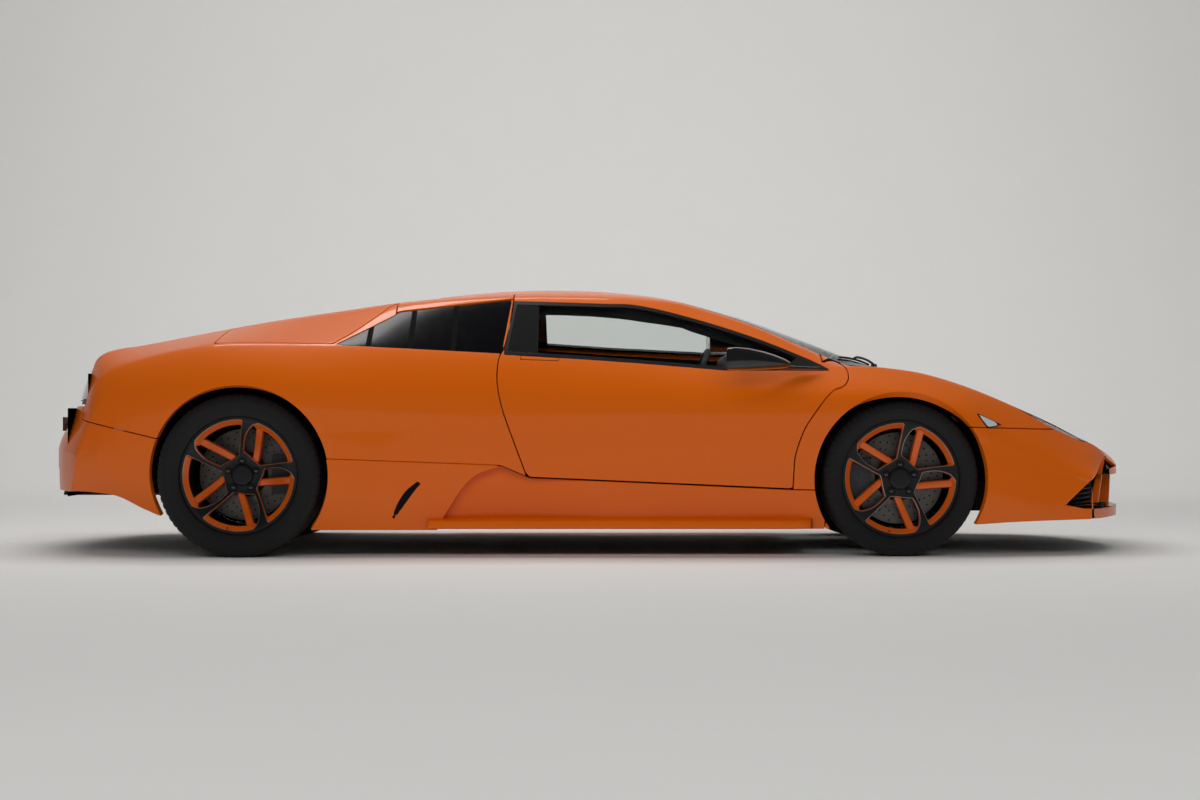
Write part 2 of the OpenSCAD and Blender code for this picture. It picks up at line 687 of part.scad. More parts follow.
module chassis_tub() {
    floor_z = 115;
    color(black) {
        // floor, sills, tunnel and bulkheads
        drawn_box([-430, -760, floor_z], [910, 760, floor_z + 35]);
        for (side = [-1, 1])
            scale([1, side, 1]) drawn_box([-430, 690, floor_z + 20], [830, 755, 330]);
        drawn_box([-430, -130, floor_z + 20], [910, 130, 330]);
        drawn_box([-440, -765, floor_z + 5], [-420, 765, 720]);
        drawn_box([900, -600, floor_z + 5], [920, 600, 690]);
        // engine cradle
        for (side = [-1, 1])
            scale([1, side, 1]) drawn_box([-1305, 360, 160], [-430, 420, 200]);
        drawn_box([-2150, -565, 278], [-1295, 565, 300]);
        drawn_box([-1310, -560, 150], [-1290, 560, 298]);
        // front boot: floor and walls
        drawn_box([910, -410, 170], [1895, 410, 190]);
        for (side = [-1, 1])
            scale([1, side, 1]) drawn_box([905, 400, 165], [1900, 420, 510]);
        drawn_box([1880, -405, 175], [1898, 405, 480]);
        for (x = [-330, 740], side = [-1, 1])
            translate([to_x(x), side * to_y(715), to_z(floor_z) - jack_pad_depth])
                cylinder(h = jack_pad_depth + 10, r = jack_pad_radius, $fn = 48);
    }
}
module liner(axle_x, hub_z, radius, outer_y, inner_y) {
    translate([axle_x, -outer_y, hub_z]) rotate([-90, 0, 0]) difference() {
        cylinder(h = outer_y - inner_y, r = radius + 14, $fn = 64);
        translate([0, 0, -1]) cylinder(h = outer_y - inner_y + 2, r = radius + 8, $fn = 64);
        translate([-far, 20, -1]) cube([2 * far, far, far]);
    }
}
module wheel_liners() {
    color(black) both_sides() {
        liner(front_axle_x, front_hub_z, front_arch_radius, to_y(860), to_y(600));
        liner(rear_axle_x, rear_hub_z, rear_arch_radius, to_y(900), to_y(600));
    }
}
module engine_block() {
    color(steel) box([to_x(-1250), -engine_width / 2, 205], [to_x(-520), engine_width / 2, to_z(760)]);
}
plate_height = 60;
plate_width = 360;
plate_x = to_x(drawn_tail) + 17;
plate_z = to_z(532);
plate_post_radius = 6;
module plate_posts(radius) {
    for (side = [-1, 1])
        translate([plate_x + 4, side * 60, plate_z]) rotate([0, 90, 0])
            cylinder(h = 70, r = radius, $fn = 32);
}
module plate_holder() {
    color(black) {
        difference() {
            translate([plate_x, -plate_width / 2, plate_z - plate_height / 2])
                cube([6, plate_width, plate_height]);
            for (side = [-1, 1])
                translate([plate_x - 1, side * plate_hole_spacing / 2, plate_z])
                    rotate([0, 90, 0]) cylinder(h = 8, r = plate_hole_radius, $fn = 32);
        }
        plate_posts(plate_post_radius);
    }
}
module wiper() {
    color(black) {
        translate([to_x(1273), 0, to_z(775)]) cylinder(h = 26, r = 10, $fn = 32);
        hull() {
            translate([to_x(1262), -6, to_z(792)]) cube([18, 12, 8]);
            translate([to_x(1118), -to_y(340), to_z(838)]) cube([18, 12, 8]);
        }
    }
}

// ---- Cabin ----
module seat() {
    half_width = seat_width / 2;
    translate([to_x(60), -to_y(400), to_z(158)]) {
        translate([-240, -half_width, 0]) cube([520, seat_width, 150]);
        translate([-240, -half_width, 60]) rotate([0, -18, 0])
            cube([110, seat_width, 560]);
    }
}
module seats() {
    color(black) both_sides() seat();
}
module dashboard() {
    color(black) translate([0, to_y(690), 0]) rotate([90, 0, 0])
        linear_extrude(height = to_y(1380))
            polygon(side_points([[600, 700], [640, 735], [890, 742], [890, 480], [700, 480],
                [640, 600]]));
}
steering_centre = [to_x(470), to_y(400), to_z(640)];
steering_tilt = 24;
module steering_wheel() {
    color(black) translate(steering_centre) rotate([0, 90 + steering_tilt, 0]) {
        rotate_extrude($fn = 64)
            translate([steering_wheel_diameter / 2 - 14, 0]) circle(r = 14, $fn = 24);
        for (a = [90, 210, 330])
            rotate([0, 0, a]) translate([0, -14, -6])
                cube([steering_wheel_diameter / 2 - 14, 28, 12]);
        translate([0, 0, -14]) cylinder(h = 28, r = 60, $fn = 48);
        cylinder(h = 60, r = 22, $fn = 32);
    }
}

// ---- Door mirrors ----
mirror_width = 190;
module mirror_shape() {
    inner_y = -to_y(910);
    hull() {
        translate([to_x(600), inner_y - mirror_width, to_z(748)]) cube([30, mirror_width, 95]);
        translate([to_x(750), inner_y - mirror_width + 30, to_z(760)]) cube([60, mirror_width - 50, 45]);
    }
    hull() {
        translate([to_x(740), inner_y - 40, to_z(766)]) cube([60, 50, 22]);
        translate([to_x(850), -to_y(852), to_z(760)]) cube([110, 14, 16]);
    }
}
module mirror_right() {
    color(black) mirror_shape();
}
module mirror_left() {
    color(black) left_of() mirror_shape();
}

// ---- Running gear, drawn about each wheel's own centre with its outer face at +Z ----
module at_wheel(axle_x, track, hub_z, side) {
    translate([axle_x, side * track / 2, hub_z])
        rotate([side * -90, 0, 0]) children();
}
module tyre(width, diameter) {
    radius = diameter / 2;
    bead = rim_diameter / 2 - 8;
    shoulder = 26;
    color([0.05, 0.05, 0.05]) rotate_extrude($fn = 96) difference() {
        union() {
            translate([bead, -width / 2 + shoulder]) square([radius - bead, width - 2 * shoulder]);
            translate([bead, -width / 2]) square([radius - bead - shoulder, width]);
            for (s = [-1, 1])
                translate([radius - shoulder, s * (width / 2 - shoulder)])
                    circle(r = shoulder, $fn = 32);
        }
        translate([bead - 1, -width / 2 + 30]) square([radius - bead - 40, width - 60]);
    }
}
rim_bead_radius = rim_diameter / 2 - 8.3;
window_points = [for (a = [86 : 11 : 141]) 224 * [cos(a), sin(a)]];
window_outline = concat(window_points, [188 * [cos(151), sin(151)], 130 * [cos(156), sin(156)],
    92 * [cos(157), sin(157)], 80 * [cos(130), sin(130)], 81 * [cos(99), sin(99)]]);
module wheel(width, dish) {
    color(black) difference() {
        union() {
            // barrel
            rotate_extrude($fn = 96) polygon([
                [rim_bead_radius - 14, -width / 2 + 12], [rim_bead_radius, -width / 2 + 12],
                [rim_bead_radius, width / 2 - 6], [rim_bead_radius - 14, width / 2 - 6]]);
            // face, set back by the dish
            translate([0, 0, width / 2 - dish - 34])
                cylinder(h = 34, r = rim_bead_radius - 1, $fn = 96);
            translate([0, 0, width / 2 - dish - 60]) cylinder(h = 60, r = 80, $fn = 64);
            translate([0, 0, width / 2 - dish]) cylinder(h = 8, r = 38, $fn = 48);
        }
        for (k = [0 : 4])
            rotate([0, 0, 72 * k]) translate([0, 0, width / 2 - dish - 50])
                linear_extrude(height = 100) polygon(window_outline);
        translate([0, 0, width / 2 - dish - 61]) cylinder(h = 20, r = 33, $fn = 48);
        for (k = [0 : 4])
            rotate([0, 0, 90 + 72 * k]) translate([wheel_nut_circle / 2, 0, width / 2 - dish - 8])
                cylinder(h = 30, r = 13, $fn = 32);
    }
}
module brake_disc(width, dish) {
    color(steel) difference() {
        union() {
            translate([0, 0, width / 2 - dish - 132])
                cylinder(h = 34, r = brake_disc_diameter / 2, $fn = 96);
            translate([0, 0, width / 2 - dish - 132]) cylinder(h = 71.7, r = disc_bell_radius, $fn = 64);
        }
        translate([0, 0, width / 2 - dish - 133]) cylinder(h = 60, r = 33, $fn = 48);
    }
}
module knuckle(width, dish, caliper_angle) {
    inner = width / 2 - dish - 132;
    radius = brake_disc_diameter / 2;
    color(steel) difference() {
        union() {
            translate([0, 0, inner - 70]) cylinder(h = 64, r = 70, $fn = 48);
            translate([0, 0, inner - 40]) cylinder(h = 96, r = 31, $fn = 48);
            translate([-40, -130, inner - 60]) cube([80, 260, 36]);
            rotate([0, 0, caliper_angle]) {
                translate([caliper_inner, -80, inner - 44])
                    cube([radius + 18 - caliper_inner, 160, 112]);
                translate([40, -30, inner - 44]) cube([radius - 60, 60, 30]);
            }
        }
        translate([0, 0, inner - 6]) cylinder(h = 46, r = radius + 6, $fn = 96);
        rotate([0, 0, caliper_angle]) translate([caliper_inner - 1, -96, inner + 68])
            cube([200, 200, 1]);
    }
}
module knuckle_with_stub(width, dish, caliper_angle) {
    knuckle(width, dish, caliper_angle);
    inner = width / 2 - dish - 132;
    color(steel) translate([0, 0, inner - 40]) cylinder(h = 96, r = 31, $fn = 48);
}
front_dish = 30;
rear_dish = 110;
// bell of a disc, and the inner edge of the caliper clear of it
disc_bell_radius = 85;
caliper_inner = disc_bell_radius + 27.5;
// outer ends of the suspension arms, short of the backs of the hubs
front_arm_end = front_track / 2 + front_tyre_width / 2 - front_dish - 202 - 68;
rear_arm_end = rear_track / 2 + rear_tyre_width / 2 - rear_dish - 202 - 93;
module front_wheel_at(side) {
    at_wheel(front_axle_x, front_track, front_hub_z, side) children();
}
module rear_wheel_at(side) {
    at_wheel(rear_axle_x, rear_track, rear_hub_z, side) children();
}
module tyre_front_right() {
    front_wheel_at(-1) tyre(front_tyre_width, front_tyre_diameter);
}
module tyre_front_left() {
    front_wheel_at(1) tyre(front_tyre_width, front_tyre_diameter);
}
module tyre_rear_right() {
    rear_wheel_at(-1) tyre(rear_tyre_width, rear_tyre_diameter);
}
module tyre_rear_left() {
    rear_wheel_at(1) tyre(rear_tyre_width, rear_tyre_diameter);
}
module wheel_front_right() {
    front_wheel_at(-1) wheel(front_tyre_width, front_dish);
}
module wheel_front_left() {
    front_wheel_at(1) wheel(front_tyre_width, front_dish);
}
module wheel_rear_right() {
    rear_wheel_at(-1) wheel(rear_tyre_width, rear_dish);
}
module wheel_rear_left() {
    rear_wheel_at(1) wheel(rear_tyre_width, rear_dish);
}
module brake_discs_front_right() {
    front_wheel_at(-1) brake_disc(front_tyre_width, front_dish);
}
module brake_discs_front_left() {
    front_wheel_at(1) brake_disc(front_tyre_width, front_dish);
}
module brake_discs_rear_right() {
    rear_wheel_at(-1) brake_disc(rear_tyre_width, rear_dish);
}
module brake_discs_rear_left() {
    rear_wheel_at(1) brake_disc(rear_tyre_width, rear_dish);
}
module knuckle_front_right() {
    front_wheel_at(-1) knuckle_with_stub(front_tyre_width, front_dish, 180);
}
module knuckle_front_left() {
    front_wheel_at(1) knuckle_with_stub(front_tyre_width, front_dish, 180);
}
module rear_hub_carriers() {
    for (side = [-1, 1])
        rear_wheel_at(side) knuckle_with_stub(rear_tyre_width, rear_dish, 0);
}
module suspension_arms() {
    color(steel) both_sides() {
        for (z = [-90, 70])
            box([front_axle_x - 20, -front_arm_end, front_hub_z + z],
                [front_axle_x + 20, -to_y(420), front_hub_z + z + 24]);
        for (z = [-90, 70])
            box([rear_axle_x - 20, -rear_arm_end, rear_hub_z + z],
                [rear_axle_x + 20, -to_y(330), rear_hub_z + z + 24]);
        // towers of the rear arms, above and below the cradle's plate
        box([rear_axle_x - 20, -to_y(400), to_z(300)],
            [rear_axle_x + 20, -to_y(330), rear_hub_z + 71]);
        box([rear_axle_x - 20, -to_y(400), rear_hub_z - 67],
            [rear_axle_x + 20, -to_y(330), to_z(278)]);
    }
}

front_bumper();
bonnet();
front_fender_right();
front_fender_left();
headlamps();
cowl();
windscreen();
wiper();
roof();
rear_window();
door_right();
door_left();
door_glass_right();
door_glass_left();
mirror_right();
mirror_left();
rear_quarter_right();
rear_quarter_left();
quarter_glass();
side_skirts();
intake_flap_right();
intake_flap_left();
engine_lid();
rear_spoiler();
tail_lamps();
rear_bumper();
plate_holder();
exhaust();
cabin_frame();
chassis_tub();
wheel_liners();
suspension_arms();
engine_block();
seats();
dashboard();
steering_wheel();
knuckle_front_right();
knuckle_front_left();
rear_hub_carriers();
wheel_front_right();
wheel_front_left();
wheel_rear_right();
wheel_rear_left();
tyre_front_right();
tyre_front_left();
tyre_rear_right();
tyre_rear_left();
brake_discs_front_right();
brake_discs_front_left();
brake_discs_rear_right();
brake_discs_rear_left();
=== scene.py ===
import math

import bmesh
import bpy
import numpy as np
from mathutils import Matrix, Vector


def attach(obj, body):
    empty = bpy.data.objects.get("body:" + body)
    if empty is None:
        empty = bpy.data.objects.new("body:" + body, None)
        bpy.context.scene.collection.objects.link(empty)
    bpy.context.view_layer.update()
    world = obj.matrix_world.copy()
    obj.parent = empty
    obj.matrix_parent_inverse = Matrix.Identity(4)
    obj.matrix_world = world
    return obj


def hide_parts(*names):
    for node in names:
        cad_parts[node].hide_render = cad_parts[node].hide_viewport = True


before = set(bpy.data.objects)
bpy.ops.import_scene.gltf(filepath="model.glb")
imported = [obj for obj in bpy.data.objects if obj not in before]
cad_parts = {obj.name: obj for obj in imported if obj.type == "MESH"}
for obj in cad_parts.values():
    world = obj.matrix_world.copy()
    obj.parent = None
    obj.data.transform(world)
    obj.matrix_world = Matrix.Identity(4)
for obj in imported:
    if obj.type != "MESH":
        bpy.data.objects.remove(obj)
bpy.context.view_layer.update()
MM = 0.001

# ---- Curves of the body, in millimetres: [place along the car, value] ----
TOP_Z = [[-2305, 430], [-2285, 485], [-2235, 560], [-2195, 660], [-2155, 755], [-2105, 825],
    [-2040, 855], [-1900, 878], [-1650, 927], [-1350, 985], [-1000, 1040], [-700, 1080],
    [-400, 1111], [-150, 1119], [100, 1110], [350, 1078], [650, 1000], [950, 893], [1230, 785],
    [1400, 735], [1650, 668], [1900, 585], [2100, 495], [2230, 430], [2285, 392], [2305, 362]]
RAIL_Y = [[-2305, 560], [-2150, 610], [-1950, 590], [-1650, 560], [-1300, 540], [-800, 535],
    [-350, 535], [50, 530], [300, 505], [450, 505], [670, 575], [905, 660], [1063, 705],
    [1265, 640], [1600, 600], [1850, 570], [2080, 500], [2230, 420], [2305, 330]]
RAIL_Z = [[-2305, 425], [-2285, 475], [-2235, 550], [-2195, 645], [-2155, 735], [-2105, 805],
    [-2040, 836], [-1900, 858], [-1650, 903], [-1350, 955], [-1000, 1004], [-780, 1034],
    [-350, 1062], [50, 1060], [250, 1050], [400, 1030], [670, 945], [905, 842], [1063, 778],
    [1265, 742], [1600, 670], [1850, 590], [2080, 490], [2230, 418], [2305, 355]]
BELT_Y = [[-2305, 760], [-2150, 830], [-1950, 862], [-1650, 888], [-1400, 892], [-1035, 868],
    [-780, 855], [-350, 842], [0, 836], [400, 832], [800, 825], [1063, 812], [1265, 805],
    [1600, 790], [1850, 740], [2080, 650], [2230, 560], [2305, 470]]
BELT_Z = [[-2305, 415], [-2285, 460], [-2235, 530], [-2195, 600], [-2140, 690], [-2080, 735],
    [-1950, 778], [-1650, 836], [-1450, 857], [-1035, 850], [-780, 840], [-350, 818],
    [0, 798], [213, 785], [563, 763], [800, 757], [1000, 763], [1150, 768], [1300, 754],
    [1400, 738], [1560, 700], [1730, 651], [1900, 592], [2040, 538], [2160, 480],
    [2250, 430], [2305, 350]]
WAIST_Y = [[-2305, 850], [-2150, 895], [-1950, 950], [-1700, 1000], [-1450, 1027], [-1250, 1026],
    [-1035, 1005], [-780, 968], [-350, 938], [0, 932], [400, 934], [800, 948], [1063, 962],
    [1265, 972], [1600, 950], [1850, 895], [2080, 830], [2305, 760]]
WAIST_Z = [[-2305, 405], [-2235, 500], [-2150, 590], [-2050, 640], [-1900, 668], [-1400, 705],
    [-1035, 690], [-350, 665], [400, 640], [800, 640], [1063, 650], [1265, 650], [1600, 590],
    [1850, 500], [2080, 420], [2305, 330]]
MIDDLE_Y = [[-2305, 850], [-2150, 905], [-1950, 955], [-1700, 1003], [-1450, 1028], [-1250, 1028],
    [-1035, 1012], [-780, 975], [-350, 943], [0, 934], [400, 934], [800, 950], [1063, 966],
    [1265, 977], [1600, 962], [1850, 918], [2080, 862], [2305, 790]]
MIDDLE_Z = [[-2305, 375], [-2100, 440], [-1950, 480], [-1400, 500], [0, 480], [1265, 480],
    [1600, 450], [1850, 400], [2080, 340], [2305, 280]]
LOWER_Y = [[-2305, 830], [-2150, 885], [-1950, 940], [-1400, 1012], [-1035, 1000], [-600, 940],
    [-350, 925], [400, 912], [800, 928], [1063, 948], [1265, 962], [1600, 966], [1850, 930],
    [2080, 880], [2305, 800]]
LOWER_Z = [[-2305, 320], [-2100, 330], [-1700, 285], [-1400, 270], [1600, 265], [1850, 250],
    [2080, 230], [2305, 220]]
BOTTOM_Y = [[-2305, 790], [-2150, 840], [-1950, 900], [-1400, 975], [-1035, 965], [-600, 925],
    [-350, 910], [400, 898], [800, 905], [1265, 935], [1600, 952], [1850, 925], [2080, 880],
    [2305, 800]]
BOTTOM_Z = [[-2305, 262], [-2150, 258], [-2000, 243], [-1850, 192], [-1740, 160], [-1400, 118],
    [-1035, 112], [800, 112], [1265, 116], [1620, 130], [1950, 142], [2305, 148]]
FALL_BACK = [[-2305, 320], [-2200, 240], [-2100, 170], [-1800, 60], [-1500, 0], [1200, 0], [1500, -60],
    [1900, -230], [2200, -370], [2305, -400]]
ROUNDNESS = [1, 1, 0.45, 0.45, 1, 1, 0.8, 0, 0, 0]
STEPS = [14, 16, 24, 13, 13, 13, 9, 4, 12]
CENTRE, CROWN, RAIL, BELT, WAIST, MIDDLE, LOWER, BOTTOM, UNDER, KEEL = np.cumsum([0] + STEPS)


def curve(knots, x):
    k = np.array(knots, float)
    x = np.asarray(x, float)
    n = len(k)
    i = np.clip(np.searchsorted(k[:, 0], x, side="right") - 1, 0, n - 2)
    before, after = np.maximum(np.arange(n) - 1, 0), np.minimum(np.arange(n) + 1, n - 1)
    slope = (k[after, 1] - k[before, 1]) / (k[after, 0] - k[before, 0])
    step = k[i + 1, 0] - k[i, 0]
    t = np.clip((x - k[i, 0]) / step, 0, 1)
    return ((2 * t**3 - 3 * t * t + 1) * k[i, 1] + (t**3 - 2 * t * t + t) * slope[i] * step
        + (3 * t * t - 2 * t**3) * k[i + 1, 1] + (t**3 - t * t) * slope[i + 1] * step)


def sections(us):
    """Half sections at the places us: array (places, points, 2) of distance from the centre line and height."""
    rail, top, edge = curve(RAIL_Y, us), curve(TOP_Z, us), curve(RAIL_Z, us)
    foot_y, foot_z = curve(BOTTOM_Y, us), curve(BOTTOM_Z, us)
    keys = np.stack([
        np.stack([0 * us, top], 1), np.stack([rail * 0.55, top + (edge - top) * 0.33], 1),
        np.stack([rail, edge], 1), np.stack([curve(BELT_Y, us), curve(BELT_Z, us)], 1),
        np.stack([curve(WAIST_Y, us), curve(WAIST_Z, us)], 1),
        np.stack([curve(MIDDLE_Y, us), curve(MIDDLE_Z, us)], 1),
        np.stack([curve(LOWER_Y, us), curve(LOWER_Z, us)], 1),
        np.stack([foot_y, foot_z], 1), np.stack([foot_y - 60, foot_z - 2], 1),
        np.stack([0 * us, foot_z - 2], 1)], 1)
    tangents = np.zeros_like(keys)
    tangents[:, 0] = np.stack([keys[:, 1, 0], 0 * us], 1)
    for i in range(1, 10):
        tangents[:, i] = ROUNDNESS[i] * (keys[:, min(i + 1, 9)] - keys[:, i - 1]) / 2
    out = []
    for i, steps in enumerate(STEPS):
        for s in range(steps):
            t = s / steps
            out.append((2 * t**3 - 3 * t * t + 1) * keys[:, i] + (t**3 - 2 * t * t + t) * tangents[:, i]
                + (3 * t * t - 2 * t**3) * keys[:, i + 1] + (t**3 - t * t) * tangents[:, i + 1])
    out.append(keys[:, 9])
    return np.stack(out, 1)


# ---- Patches: points, normals and triangles, all in millimetres ----
class Patch:
    def __init__(self, p, n, t):
        self.p, self.n, self.t = p, n, t

    def copy(self):
        return Patch(self.p.copy(), self.n.copy(), self.t.copy())


def unit(v):
    return v / np.maximum(np.linalg.norm(v, axis=-1, keepdims=True), 1e-9)


def grid_patch(g, flip=False):
    """Patch over a grid of points (rows, columns, 3); its outside is column step x row step."""
    r, c = g.shape[:2]
    n = unit(np.cross(np.gradient(g, axis=1), np.gradient(g, axis=0)))
    a = (np.arange(r - 1)[:, None] * c + np.arange(c - 1)[None, :]).ravel()
    t = np.concatenate([np.stack([a, a + 1, a + c + 1], 1), np.stack([a, a + c + 1, a + c], 1)])
    patch = Patch(g.reshape(-1, 3), n.reshape(-1, 3), t)
    return turned(patch) if flip else patch


def turned(patch):
    return Patch(patch.p, -patch.n, patch.t[:, ::-1])


def body_grid(from_u, to_u, first, last, across=False, step=15.0, push=None):
    us = np.linspace(from_u, to_u, max(2, int(abs(to_u - from_u) / step) + 2))
    half = sections(us)[:, first:last + 1]
    side = -np.ones(half.shape[1])
    if across:
        half = np.concatenate([half[:, :0:-1], half], 1)
        side = np.concatenate([np.ones(last - first), side])
    y = half[..., 0] * side
    x = us[:, None] + curve(FALL_BACK, us)[:, None] * (y / 1029) ** 2
    g = np.stack([x, y, half[..., 1]], -1)
    if push is not None:
        n = unit(np.cross(np.gradient(g, axis=1), np.gradient(g, axis=0)))
        g = g + n * push(g)[..., None]
    return g


def body(from_u, to_u, first, last, across=False, step=15.0, push=None):
    return grid_patch(body_grid(from_u, to_u, first, last, across, step, push))


def signed(outline, q):
    """Distance of the points q from an outline, positive inside."""
    a = np.array(outline, float)
    b = np.roll(a, -1, 0)
    best = np.full(len(q), 1e9)
    inside = np.zeros(len(q), bool)
    for (ax, ay), (bx, by) in zip(a, b):
        dx, dy = bx - ax, by - ay
        length = dx * dx + dy * dy
        if length < 1e-9:
            continue
        s = np.clip(((q[:, 0] - ax) * dx + (q[:, 1] - ay) * dy) / length, 0, 1)
        best = np.minimum(best, np.hypot(q[:, 0] - ax - s * dx, q[:, 1] - ay - s * dy))
        if ay != by:
            hit = (q[:, 1] > ay) != (q[:, 1] > by)
            inside ^= hit & (q[:, 0] < ax + (q[:, 1] - ay) / (by - ay) * dx)
    return np.where(inside, best, -best)


def from_side(outline, grow=0.0, keep=1, inner=0.0):
    def f(p):
        s = signed(outline, p[:, [0, 2]]) + grow
        if inner:
            s = np.minimum(s, np.abs(p[:, 1]) - inner)
        return keep * s
    return f


def from_top(outline, grow=0.0, keep=1, above=None):
    def f(p):
        s = signed(outline, p[:, [0, 1]]) + grow
        if above is not None:
            s = np.minimum(s, p[:, 2] - above)
        return keep * s
    return f


def off_wheel(x, z, radius):
    return lambda p: np.hypot(p[:, 0] - x, p[:, 2] - z) - radius


def plane(axis, value, keep=1):
    return lambda p: keep * (p[:, axis] - value)


def cut(patch, *tests):
    """Keeps the part of the patch where every test is positive."""
    for f in tests:
        p, n, t = patch.p, patch.n, patch.t
        if not len(t):
            return patch
        s = f(p)
        s = np.where(np.abs(s) < 0.4, 0.0, s)
        inside = s >= 0
        count = inside[t].sum(1)
        keep = [t[count == 3]]
        points, normals, made, extra = [], [], {}, []
        total = len(p)

        def between(i, j):
            if s[i] == 0:
                return i
            if s[j] == 0:
                return j
            key = (i, j) if i < j else (j, i)
            if key not in made:
                a, b = key
                w = s[a] / (s[a] - s[b])
                points.append(p[a] + (p[b] - p[a]) * w)
                normals.append(n[a] + (n[b] - n[a]) * w)
                made[key] = total + len(points) - 1
            return made[key]

        for tri in t[(count > 0) & (count < 3)].tolist():
            loop = []
            for k in range(3):
                i, j = tri[k], tri[(k + 1) % 3]
                if inside[i]:
                    loop.append(i)
                if inside[i] != inside[j]:
                    loop.append(between(i, j))
            clean = [v for k, v in enumerate(loop) if v != loop[k - 1]]
            for k in range(1, len(clean) - 1):
                if len({clean[0], clean[k], clean[k + 1]}) == 3:
                    extra.append([clean[0], clean[k], clean[k + 1]])
        if points:
            p, n = np.concatenate([p, points]), np.concatenate([n, unit(np.array(normals))])
        if extra:
            keep.append(np.array(extra))
        patch = packed(Patch(p, n, np.concatenate(keep)))
    return patch


def packed(patch):
    used, back = np.unique(patch.t, return_inverse=True)
    return Patch(patch.p[used], patch.n[used], back.reshape(-1, 3))


def rim_edges(patch):
    t = patch.t
    edges = np.concatenate([t[:, [0, 1]], t[:, [1, 2]], t[:, [2, 0]]])
    known = set(map(tuple, edges.tolist()))
    return [e for e in map(tuple, edges.tolist()) if (e[1], e[0]) not in known]


def offset(patch, depth):
    return Patch(patch.p - patch.n * depth, patch.n, patch.t)


def edged(patch, radius=2.2, depth=14.0, lining=False):
    """The patch with its edges rounded off and turned inwards, and a copy inside if it has a lining."""
    if not len(patch.t):
        return patch, None
    edges = np.array(rim_edges(patch))
    p, n = patch.p, patch.n
    out = np.zeros_like(p)
    along = unit(p[edges[:, 1]] - p[edges[:, 0]])
    np.add.at(out, edges[:, 0], np.cross(along, n[edges[:, 0]]))
    np.add.at(out, edges[:, 1], np.cross(along, n[edges[:, 1]]))
    rim = np.unique(edges)
    o, m, q = unit(out[rim]), n[rim], p[rim]
    rings = [
        (q + o * radius * 0.5 - m * radius * 0.134, unit(m * 0.866 + o * 0.5)),
        (q + o * radius * 0.866 - m * radius * 0.5, unit(m * 0.5 + o * 0.866)),
        (q + o * radius - m * radius, o),
        (q + o * radius - m * depth, o)]
    number = np.full(len(p), -1)
    number[rim] = np.arange(len(rim))
    points, normals, tris = [p], [n], [patch.t]
    base, last = len(p), edges
    for ring, normal in rings:
        points.append(ring)
        normals.append(normal)
        now = number[edges] + base
        tris.append(np.stack([last[:, 1], last[:, 0], now[:, 0]], 1))
        tris.append(np.stack([last[:, 1], now[:, 0], now[:, 1]], 1))
        base, last = base + len(rim), now
    full = Patch(np.concatenate(points), np.concatenate(normals), np.concatenate(tris))
    inner = Patch(p - n * depth, -n, patch.t[:, ::-1]) if lining else None
    return full, inner


def joined(*patches):
    points, normals, tris, base = [], [], [], 0
    for q in patches:
        points.append(q.p)
        normals.append(q.n)
        tris.append(q.t + base)
        base += len(q.p)
    return Patch(np.concatenate(points), np.concatenate(normals), np.concatenate(tris))


def left(patch):
    return Patch(patch.p * [1, -1, 1], patch.n * [1, -1, 1], patch.t[:, ::-1])


def both(patch):
    return joined(patch, left(patch))


# ---- Materials ----
materials = {}


def rgb(r, g, b):
    """sRGB bytes to a linear colour."""
    return [((c / 255 + 0.055) / 1.055) ** 2.4 if c > 10 else c / 255 / 12.92 for c in (r, g, b)] + [1.0]


def material(name, colour, rough=0.5, metal=0.0, coat=0.0, coat_rough=0.05, spread=0.06, scale=40.0,
        bump=0.0, bump_scale=300.0, clear=0.0, emit=0.0, rough_spread=0.08, ior=1.45, sheen=0.0):
    m = bpy.data.materials.new(name)
    m.use_nodes = True
    nodes, links = m.node_tree.nodes, m.node_tree.links
    shader = nodes["Principled BSDF"]
    shader.inputs["Metallic"].default_value = metal
    shader.inputs["IOR"].default_value = ior
    shader.inputs["Coat Weight"].default_value = coat
    shader.inputs["Coat Roughness"].default_value = coat_rough
    shader.inputs["Transmission Weight"].default_value = clear
    shader.inputs["Sheen Weight"].default_value = sheen
    if emit:
        shader.inputs["Emission Color"].default_value = colour
        shader.inputs["Emission Strength"].default_value = emit
    place = nodes.new("ShaderNodeTexCoord")
    noise = nodes.new("ShaderNodeTexNoise")
    noise.inputs["Scale"].default_value = scale
    noise.inputs["Detail"].default_value = 4.0
    links.new(place.outputs["Object"], noise.inputs["Vector"])
    ramp = nodes.new("ShaderNodeValToRGB")
    ramp.color_ramp.elements[0].position, ramp.color_ramp.elements[1].position = 0.3, 0.7
    ramp.color_ramp.elements[0].color = [c * (1 - spread) for c in colour[:3]] + [1]
    ramp.color_ramp.elements[1].color = [min(1, c * (1 + spread)) for c in colour[:3]] + [1]
    links.new(noise.outputs["Fac"], ramp.inputs["Fac"])
    links.new(ramp.outputs["Color"], shader.inputs["Base Color"])
    spot = nodes.new("ShaderNodeMapRange")
    spot.inputs["To Min"].default_value = max(0.0, rough - rough_spread / 2)
    spot.inputs["To Max"].default_value = min(1.0, rough + rough_spread / 2)
    links.new(noise.outputs["Fac"], spot.inputs["Value"])
    links.new(spot.outputs["Result"], shader.inputs["Roughness"])
    if bump:
        fine = nodes.new("ShaderNodeTexNoise")
        fine.inputs["Scale"].default_value = bump_scale
        links.new(place.outputs["Object"], fine.inputs["Vector"])
        dent = nodes.new("ShaderNodeBump")
        dent.inputs["Strength"].default_value = bump
        dent.inputs["Distance"].default_value = 0.001
        links.new(fine.outputs["Fac"], dent.inputs["Height"])
        links.new(dent.outputs["Normal"], shader.inputs["Normal"])
    materials[name] = m
    return m


